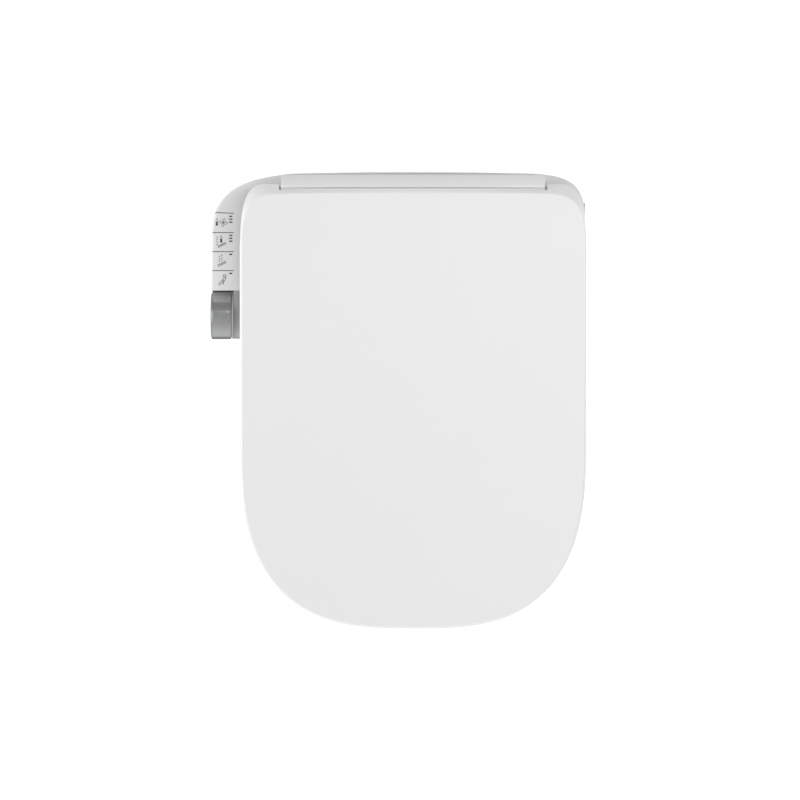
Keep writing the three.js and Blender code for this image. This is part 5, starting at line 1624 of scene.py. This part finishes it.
# --- knob
@dataclass
class Knob:
    """The turning knob in front of the arm, its bezel and the cheek that carries it."""

    housing: Housing
    radius: float = 25.15
    axis_y: float = -101.0
    proud: float = 1.2
    width: float = 21.7
    crown: float = 2.0
    wall: float = 3.5
    push: float = 1.0
    bezel_thickness: float = 1.7
    encoder_radius: float = 18.0
    shaft_radius: float = 4.0
    apron_depth: float = 3.0
    cheek_drop: float = 2.4
    spigot_wall: float = 1.2

    def __post_init__(self) -> None:
        """Works out the places along the axis."""
        gap = self.housing.gap
        self.axis_z = self.housing.deck_z - self.radius
        self.outer_x = self.housing.arm_outer - self.proud
        self.inner_x = self.outer_x + self.width
        self.bezel_x = self.inner_x + self.push + gap
        self.cheek_x = self.inner_x + self.push + self.bezel_thickness + 2 * gap
        self.axis = upright(0.0, self.axis_y, self.axis_z) @ Matrix.Rotation(radians(90.0), 4, "Y")

    def cheek(self) -> Form:
        """Returns the stub under the lid's edge that carries the knob."""
        radius, back = self.radius - 0.4, self.housing.front_y - 0.05
        height = self.axis_z - self.cheek_drop
        profile = [*arc((self.axis_y, height), radius, 90, 270, 72), (back, height - radius), (back, height + radius)]
        return Form.bar_x(profile, self.cheek_x, self.housing.arm_inner)

    def apron(self) -> Form:
        """Returns the slope in front of the arm, below the gap behind the knob."""
        housing = self.housing
        front, low, top = housing.front_y, housing.floor_z + 1, self.axis_z - self.radius / 5
        profile = [(front + 1, top), (front, top), (front - self.apron_depth, lerp(low, top, 0.4)),
                   (front - self.apron_depth, low + 1), (front - self.apron_depth + 1, low), (front + 1, low)]
        return Form.bar_x(profile, housing.arm_outer + 1, self.cheek_x - housing.gap)

    def body_profile(self) -> Outline:
        """Returns the knob's half section, from its face round to the hollow."""
        radius, outer, inner, wall = self.radius, self.outer_x, self.inner_x, self.wall
        shares = [*(step / 10 for step in range(8)), *(1 - 0.3 * (1 - step / 12) ** 2 for step in range(1, 13))]
        face = [(radius * share, outer + self.crown * (1 - sqrt(1 - share ** 5))) for share in shares]
        rebate = radius - self.spigot_wall
        back = [(radius, inner - 0.3), (radius - 0.3, inner), (rebate, inner), (rebate, inner - 5),
                (radius - wall, inner - 5), (radius - wall, outer + wall + 1), (radius - wall - 1, outer + wall)]
        bore, hub = self.shaft_radius + self.housing.gap, self.shaft_radius + 2
        socket = [(hub + 1, outer + wall), (hub, outer + wall + 1), (hub, outer + 10),
                  (bore, outer + 10), (bore, outer + wall + 0.3), (0.0, outer + wall + 0.3)]
        return [*face, *back, *socket]

    def build(self, bench: Bench) -> None:
        """Builds the knob and its bezel.

        Args:
            bench: Where pieces go.
        """
        body = Form.turned(self.body_profile(), 144, self.axis)
        bench.mount(body.smoothed(28.0), "knob_cap", "knob", ["control_knob"], "satin_metal")
        outer, inner, gap = self.radius - 0.4, self.encoder_radius + self.housing.gap, self.housing.gap
        low, high = self.bezel_x, self.cheek_x - gap
        spigot, end = self.radius - self.spigot_wall - 0.4, self.inner_x - 3
        ring = Form.turned([
            (inner, end + 0.3), (inner + 0.3, end), (spigot - 0.3, end), (spigot, end + 0.3),
            (spigot, low), (outer - 0.6, low), (outer - 0.2, low + 0.1), (outer, low + 0.4),
            (outer, high), (inner, high)], 128, self.axis)
        bench.mount(ring.smoothed(34.0), "knob_collar", "housing", ["knob_bezel"], "grey_plastic", "bezel_grey")
        housing = self.housing
        # Painted shadow: a dark plate on the arm's front wall behind the knob, where there is only the shade of the
        # gap between them.
        shadow_plate = Form.block((housing.arm_outer + 0.6, housing.front_y - 1.1, self.axis_z - 4.6),
                           (self.cheek_x - gap, housing.front_y + 0.5, self.axis_z - 1.8))
        bench.mount(shadow_plate.smoothed(30.0), "arm_end_shadow_plate", "housing", [], "dark_plastic")
        # The cheek takes the painted-shade grey, which stands in for the shade between the knob and the lid.
        bench.mount(self.cheek().smoothed(34.0), "knob_cheek", "housing", ["top_cover"], "white_gloss", "cheek_painted_shade")


# --- spray wand
@dataclass
class SprayWand:
    """The wand that slides out through the front wall on a rack, and its changeable tip."""

    housing: Housing
    tilt: float = 15.0
    port_z: float = 14.0
    radius: float = 5.5
    tip_radius: float = 6.5
    tip_front: float = -0.6
    tip_length: float = 16.0
    rear_gap: float = 8.5
    rack_half: float = 3.0
    rack_root: float = 5.8
    module: float = 1.0
    pinion_y: float = 26.0
    pressure_angle: float = 20.0
    backlash: float = 0.12

    @property
    def length(self) -> float:
        """Returns the wand's length with its tip."""
        depth = self.housing.rear_y - self.rear_gap - self.housing.front_y
        return depth / cos(radians(self.tilt))

    @property
    def place(self) -> Matrix:
        """Returns the wand's own frame, whose Y runs back along it."""
        turn = Matrix.Rotation(radians(self.tilt), 4, "X")
        return upright(0.0, self.housing.front_y, self.port_z) @ turn

    def along(self) -> Matrix:
        """Returns the place whose axis runs back along the wand."""
        return self.place @ Matrix.Rotation(radians(-90.0), 4, "X")

    def port(self) -> Form:
        """Returns the cutter of the opening in the front wall."""
        gap, rise = self.housing.gap, self.rack_root + 2.3 * self.module
        barrel = peg(self.tip_radius + gap, -12, 14, 72, self.along())
        slot = Form.block((-self.rack_half - 0.5, -12, 0.0), (self.rack_half + 0.5, 14, rise))
        return barrel.join(slot.moved(self.place))

    def rack(self, start: float, end: float) -> Outline:
        """Returns the rack's side profile, teeth up.

        Args:
            start: Where it starts behind the tip.
            end: Where the wand ends.

        Returns:
            Points as (y, z) in the wand's own frame.
        """
        pitch, slope = pi * self.module, tan(radians(self.pressure_angle))
        half = pitch / 4 - self.backlash / 4
        crest = self.rack_root + 1.7 * self.module
        crest_half, root_half = half - 0.7 * self.module * slope, half + self.module * slope
        first = ceil((start - self.pinion_y) / pitch + 0.5)
        last = floor((end - 1 - self.pinion_y) / pitch - 0.5)
        teeth = []
        for index in range(first, last + 1):
            y = self.pinion_y + index * pitch
            teeth += [(y - root_half, self.rack_root), (y - crest_half, crest), (y + crest_half, crest),
                      (y + root_half, self.rack_root)]
        low = self.radius - 2
        return [(start, low), (start, self.rack_root), *teeth, (end - 1, self.rack_root), (end - 1, low)]

    def build(self, bench: Bench) -> None:
        """Builds the wand and its tip.

        Args:
            bench: Where pieces go.
        """
        tip_end = self.tip_front + self.tip_length
        end, start, radius = self.tip_front + self.length, tip_end + self.housing.gap, self.radius
        tube = Form.turned([
            (0, start), (radius - 0.4, start), (radius, start + 0.4), (radius, start + 1.6),
            (radius - 0.3, start + 1.8), (radius - 0.3, start + 2.4), (radius, start + 2.6),
            (radius, end - 0.5), (radius - 0.5, end), (0, end)], 64, self.along())
        rack = Form.bar_x(self.rack(tip_end + 3, end), -self.rack_half, self.rack_half).moved(self.place)
        bench.mount(tube.join(rack).smoothed(30.0), "wand_tube", "nozzle", ["nozzle_wand"], "satin_metal",
                    "wand_metal")
        tip, curve = self.tip_radius, 2.2
        nose = [((tip - curve) + curve * sin(a), self.tip_front + curve * (1 - cos(a)))
                for a in (radians(90 * step / 8) for step in range(9))]
        profile = [(0, self.tip_front), *nose, (tip, tip_end - 2.4), (tip - 0.25, tip_end - 2.2),
                   (tip - 0.25, tip_end - 1.8), (tip, tip_end - 1.6), (tip, tip_end - 0.4),
                   (tip - 0.4, tip_end), (0, tip_end)]
        head = Form.turned(profile, 64, self.along())
        jets = [Form.turned([(0, tip - 1.5), (0.6, tip - 1.5), (0.6, tip - 0.4),
                             (1.1, tip + 0.4), (0, tip + 0.4)], 24,
                            self.place @ upright(0.0, y)) for y in (5, 8, 11)]
        bench.mount(head.cut(*jets).smoothed(30.0), "wand_tip", "nozzle", ["nozzle_tip"], "white_matt")


# --- dryer flap, filter and release button
@dataclass
class SideFittings:
    """The dryer's flap, the odour filter's cartridge and the release button."""

    housing: Housing

    def build_flap(self, bench: Bench) -> None:
        """Builds the flap that hangs in front of the dryer's outlet."""
        low, high = box_of("dryer_flap")
        middle, half = (low.y + high.y) / 2, (high.y - low.y) / 2
        pivot = (middle, high.z - half)
        flap = Form.bar_x([*arc(pivot, half, 0, 180, 20), (low.y, low.z + 0.6), (low.y + 0.6, low.z),
                           (high.y, low.z)], low.x, high.x)
        rims = [Form.block((x - 0.4, low.y - 1, low.z + 2), (x + 0.4, low.y + 0.3, high.z - 3))
                for x in (low.x + 3, high.x - 3)]
        bench.mount(flap.cut(*rims).smoothed(30.0), "dryer_door", "flap", ["dryer_flap"], "white_gloss", "arm_shaded_gloss")

    def build_filter(self, bench: Bench) -> None:
        """Builds the cartridge with its pockets, vents and finger slot."""
        low, high = box_of("odour_filter")
        outline = rounded((low.y, low.z), (high.y, high.z), 1.2, 6)
        body = Form.slab_x(outline, [(0.0, low.x), (0.0, high.x - 0.5), (0.5, high.x)])
        pockets = [Form.plate(rounded((low.x + (4 + 16.5 * i), low.y + 4),
                                                (low.x + (18 + 16.5 * i), high.y - 4), 1.5),
                              low.z + 3, high.z + 1) for i in range(3)]
        slot = Form.bar_x(rounded((low.y + 10, high.z - 7), (high.y - 10, high.z - 3.5),
                                            1.5, 8), high.x - 2.4, high.x + 1)
        vents = [Form.block((high.x - 1.2, low.y + 6, low.z + (2.2 + 2.0 * i)),
                            (high.x + 1, high.y - 6, low.z + (3.1 + 2.0 * i))) for i in range(3)]
        body.cut(*pockets, slot, *vents)
        bench.mount(body.smoothed(30.0), "filter_cartridge", "filter", ["odour_filter"], "charcoal")

    def build_release(self, bench: Bench) -> None:
        """Builds the button that frees the seat from its bracket."""
        low, high = box_of("release_button")
        outline = rounded((low.y, low.z), (high.y, high.z), 1.5, 10)
        cap = Form.slab_x(outline, [(0.0, low.x), (0.0, high.x - 0.5), (0.15, high.x - 0.15), (0.5, high.x)])
        ridges = [Form.block((high.x - 0.3, low.y + 2, low.z + (2.4 + 1.5 * i)),
                             (high.x + 1, high.y - 2, low.z + (2.9 + 1.5 * i))) for i in range(3)]
        bench.mount(cap.cut(*ridges).smoothed(30.0), "release_cap", "release", ["release_button"], "grey_plastic")

    def build(self, bench: Bench) -> None:
        """Builds the three pieces.

        Args:
            bench: Where pieces go.
        """
        self.build_flap(bench)
        self.build_filter(bench)
        self.build_release(bench)


# --- bracket, bolts, water and power inlets
@dataclass
class FixingKit:
    """The bracket that stays on the bowl, with its bolts, washers and wing nuts."""

    spacing: float = 140.0
    bolt_radius: float = 3.5
    half_width: float = 94.0
    waist_half: float = 86.0
    half_depth: float = 24.0
    waist_z: float = 8.0
    top_z: float = 12.0
    slot_half: float = 15.0
    head_radius: float = 9.0
    head_height: float = 4.0
    gap: float = GAP

    def bracket(self) -> Form:
        """Returns the sliding bracket with its bolt slots and pockets."""
        waist, edge, low, top = self.waist_half, self.half_width, self.waist_z, self.top_z
        profile = [(-waist + 0.6, 0), (waist - 0.6, 0), (waist, 0.6), (waist, low), (edge - 0.5, low),
                   (edge, low + 0.5), (edge, top - 0.8), (edge - 0.8, top), (0.8 - edge, top),
                   (-edge, top - 0.8), (-edge, low + 0.5), (0.5 - edge, low), (-waist, low), (-waist, 0.6)]
        body = Form.bar_y(profile, -self.half_depth, self.half_depth)
        corners = Form.plate(rounded((-edge, -self.half_depth), (edge, self.half_depth), 3, 10), -1, 20)
        body.common(corners)
        for x in (-self.spacing / 2, self.spacing / 2):
            width, clear = self.bolt_radius + 1, self.head_radius + 1
            reach = self.slot_half + clear - width
            body.cut(
                Form.plate(rounded((x - self.slot_half, -width), (x + self.slot_half, width),
                                             width - 0.01, 12), -1, top + 1),
                Form.plate(rounded((x - reach, -clear), (x + reach, clear), clear - 0.01, 18),
                           top - self.head_height - 2, top + 1))
        for x in (-30, 0.0, 30):
            for y0, y1 in ((-self.half_depth + 3, -2), (2, self.half_depth - 3)):
                body.cut(Form.plate(rounded((x - 12, y0), (x + 12, y1), 3, 8), 4, top + 1))
        return body

    def bolt(self, x: float, low: float, high: float) -> Form:
        """Returns a threaded bolt with a cross recess in its head.

        Args:
            x: Where it stands.
            low: The height of its end.
            high: The height of its head's top.

        Returns:
            The bolt.
        """
        radius, head, tall = self.bolt_radius, self.head_radius, self.head_height
        seat = high - tall
        start, end, pitch = low + 0.9, low + 44, 1.0
        shank = [(radius, start + (end - start) * step / 420) for step in range(421)]
        body = Form.threaded([
            (0, low), (radius - 0.7, low), *shank, (radius, seat), (head - 0.3, seat), (head, seat + 0.3),
            (head, seat + tall - 1.2), (head - 0.5, seat + tall - 0.4), (head - 1.4, seat + tall),
            (0, seat + tall)], 40, upright(x, 0.0), pitch, 0.5, (start, end))
        cross = [Form.block((x - a, -b, seat + tall - 2.2), (x + a, b, seat + tall + 1))
                 for a, b in ((3.4, 0.7), (0.7, 3.4))]
        return body.cut(*cross)

    def wing_nut(self, x: float, low: float, high: float) -> Form:
        """Returns a wing nut with rounded wings and grips."""
        hub = Form.turned([(0, low), (10.4, low), (11, low + 0.6), (11, high - 0.6),
                           (10.4, high), (0, high)], 56, upright(x, 0.0))
        wing = Form.bar_y(rounded((x - 20, low), (x + 20, high - 3), 3.4, 10), -2.5, 2.5)
        hub.join(wing)
        grips = [peg(0.8, low - 1, high + 1, 16, upright(x + 11.2 * cos(a), 11.2 * sin(a)))
                 for a in (radians(d) for d in (40, 65, 90, 115, 140, 220, 245, 270, 295, 320))]
        bore = self.bolt_radius + self.gap
        return hub.cut(*grips, peg(bore, low - 1, high + 1, 40, upright(x, 0.0)))

    def washer(self, x: float, low: float, high: float) -> Form:
        """Returns the tapered rubber washer with its sealing steps."""
        bore = self.bolt_radius + self.gap
        profile = [(bore, high), (6.6, high), (7, high - 0.4)]
        for step in range(4):
            radius = lerp(7, 14, (step + 1) / 4)
            along = lerp(high, low, (step + 1) / 4)
            profile += [(radius - 0.9, along + 1.0), (radius - 0.1, along + 0.5)]
        profile += [(14, low + 0.1), (13.6, low), (bore, low)]
        return Form.turned(profile, 56, upright(x, 0.0))

    def build(self, bench: Bench) -> None:
        """Builds the bracket and both sets of fasteners.

        Args:
            bench: Where pieces go.
        """
        bench.mount(self.bracket().smoothed(30.0), "rim_bracket", "bracket", ["mounting_bracket"], "grey_plastic")
        kinds = (("mounting_bolt", self.bolt, "bolt", 40.0, "steel"),
                 ("wing_nut", self.wing_nut, "wing", 30.0, "grey_plastic"),
                 ("rubber_washer", self.washer, "washer", 35.0, "black_rubber"))
        for word, side in (("left", -1), ("right", 1)):
            for node, make, name, angle, slot in kinds:
                low, high = box_of(f"{node}_{word}")
                piece = make(side * self.spacing / 2, low.z, high.z).smoothed(angle)
                bench.mount(piece, f"{name}_{word}", "bracket", [f"{node}_{word}"], slot)


@dataclass
class Inlets:
    """The threaded water inlet with its strainer, and the gland where the cord would enter."""

    thread_pitch: float = 1.81

    def build(self, bench: Bench) -> None:
        """Builds the three pieces.

        Args:
            bench: Where pieces go.
        """
        low, high = box_of("inlet_union")
        flange, spot = (high.x - low.x) / 2, upright((low.x + high.x) / 2, (low.y + high.y) / 2)
        radius, bore, seat = 10.5, 6.5, 7.3
        start, end = low.z + 1, 1.0
        flank = [(radius, start + (end - start) * step / 170) for step in range(171)]
        union = Form.threaded([
            (0, high.z), (flange, high.z), (flange, seat), (radius, seat), *reversed(flank), (radius - 0.9, low.z),
            (bore, low.z), (bore, -2), (0, -2)], 64, spot, self.thread_pitch, 0.9, (start, end))
        bench.mount(union.smoothed(40.0), "water_union", "housing", ["inlet_union"], "steel")
        low, high = box_of("inlet_strainer")
        radius = (high.x - low.x) / 2
        thimble = Form.turned([
            (0, high.z), (3.6, high.z), (4.0, high.z - 0.3), (radius, -12), (radius, -14),
            (5.3, -14), (5.3, -12), (3, -3.5), (0, -3.5)], 48, spot)
        bench.mount(thimble.smoothed(40.0), "strainer_thimble", "housing", ["inlet_strainer"], "grey_plastic")
        low, high = box_of("cable_gland")
        spot, rim = upright((low.x + high.x) / 2, (low.y + high.y) / 2), (high.x - low.x) / 2
        gland = Form.turned([
            (3.6, low.z + 0.5), (4.1, low.z), (6.4, low.z), (7, low.z + 0.6),
            (7, 7.3), (rim, 7.3), (rim, high.z), (3.6, high.z)], 56, spot)
        bench.mount(gland.smoothed(40.0), "cord_gland", "housing", ["cable_gland"], "black_rubber")


KEPT_NODES: Dict[str, Tuple[str, ...]] = {
    "heater_foil": ("seat_heater",),
    "circuit_board": ("display_board", "main_circuit_board"),
    "dark_plastic": ("encoder_body", "power_supply", "blower_wheel", "seat_damper", "lid_damper"),
    "white_matt": ("nozzle_pinion", "water_heater"),
    "grey_plastic": ("nozzle_cradle", "inlet_valve", "blower_housing", "dryer_duct"),
    "steel": ("knob_shaft", "nozzle_motor", "blower_motor"),
    "pin_steel": ("hinge_pin_left", "hinge_pin_right"),
}


# --- studio
@dataclass(frozen=True)
class SoftLight:
    """A flat lamp that faces a point."""

    name: str
    place: Point3
    width: float
    depth: float
    power: float
    key: bool = True

    def build(self, target: Vector) -> None:
        """Hangs the lamp.

        Args:
            target: What it faces.
        """
        lamp = bpy.data.lights.new(self.name, "AREA")
        lamp.shape = "RECTANGLE"
        lamp.energy, lamp.size, lamp.size_y = self.power, self.width, self.depth
        lamp.use_shadow = self.key
        stand = bpy.data.objects.new(self.name, lamp)
        stand.visible_glossy = self.key
        bpy.context.scene.collection.objects.link(stand)
        stand.location = self.place
        stand.rotation_euler = (target - Vector(self.place)).to_track_quat("-Z", "Y").to_euler()


@dataclass
class Studio:
    """A pale floor, soft lamps and a camera looking straight down."""

    materials: Dict[str, bpy.types.Material]
    floor_z: float = -64.5
    centre: Point2 = (-0.0139, -0.1913)
    distance: float = 9.0
    lens: float = 380.6
    sky_stops: Tuple[Point2, ...] = ((0.12, 0.20), (0.24, 0.78), (0.5, 0.80), (1.0, 0.42))
    rear_stops: Tuple[Point2, ...] = ((0.0, 1.0), (0.8, 0.41), (1.0, 0.5))
    lamps: Tuple[SoftLight, ...] = (
        SoftLight("left", (-3.6, -0.1, 2.1), 2.4, 2.4, 79.0), SoftLight("right", (0.95, 0.1, 1.7), 1.0, 1.0, 12.2),
        SoftLight("strip", (-0.1, 1.05, 3.2), 1.6, 0.07, 1.3),
        SoftLight("front_fill", (-0.1, -2.9, 0.5), 2.4, 0.8, 12.0, False),
    )

    def sky(self, tree: bpy.types.NodeTree) -> None:
        """Makes the surrounding light, which is dimmer overhead than at the sides.

        Args:
            tree: The world's nodes.
        """
        sheet = ShaderSheet.over(tree)
        direction = sheet.output(sheet.node("ShaderNodeTexCoord", {}, {}), "Generated")
        parts = sheet.node("ShaderNodeSeparateXYZ", {}, {"Vector": direction})
        height = sheet.ramp(sheet.output(parts, "Z") * 0.5 + 0.5, self.sky_stops)
        depth = sheet.ramp(sheet.output(parts, "Y"), self.rear_stops)
        light = sheet.node("ShaderNodeMix", {"data_type": "RGBA", "blend_type": "MULTIPLY"},
                           {0: 1.0, 6: height, 7: depth})
        tree.links.new(light.outputs[2], tree.nodes["Background"].inputs["Color"])

    def build(self) -> None:
        """Builds the floor, the lamps, the surrounding light and the camera."""
        scene = bpy.context.scene
        floor = Form.block((-6000, -6000, self.floor_z - 20), (6000, 6000, self.floor_z))
        sheet = floor.object
        sheet.name = "studio_floor"
        sheet.data.materials.append(self.materials["floor"])
        sheet.visible_glossy = False
        for lamp in self.lamps:
            lamp.build(Vector((*self.centre, 0.04)))
        world = bpy.data.worlds.new("studio")
        world.use_nodes = True
        self.sky(world.node_tree)
        scene.world = world
        optics = bpy.data.cameras.new("camera")
        optics.lens, optics.sensor_width = self.lens, 36.0
        camera = bpy.data.objects.new("camera", optics)
        scene.collection.objects.link(camera)
        camera.location = (*self.centre, self.distance + 0.08)
        scene.camera = camera
        scene.view_settings.view_transform = "Standard"


def main() -> None:
    """Builds the electric bidet seat."""
    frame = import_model()
    bench = Bench(frame)
    hinge, plan = HingeLine(), LidPlan()
    housing = Housing(plan, hinge)
    knob, wand, panel = Knob(housing), SprayWand(housing), ControlPanel(housing)
    lid = Lid(plan, hinge)
    lid.build(bench)
    Seat(plan, hinge, lid).build(bench)
    housing.build(bench, knob.apron(), wand.port(), panel.lamp_slots())
    for part in (panel, knob, wand, SideFittings(housing), FixingKit(), Inlets()):
        part.build(bench)
    for finish, nodes in KEPT_NODES.items():
        for node in nodes:
            bench.dress(node, finish)
    Studio(bench.materials).build()


if __name__ == "__main__":
    main()
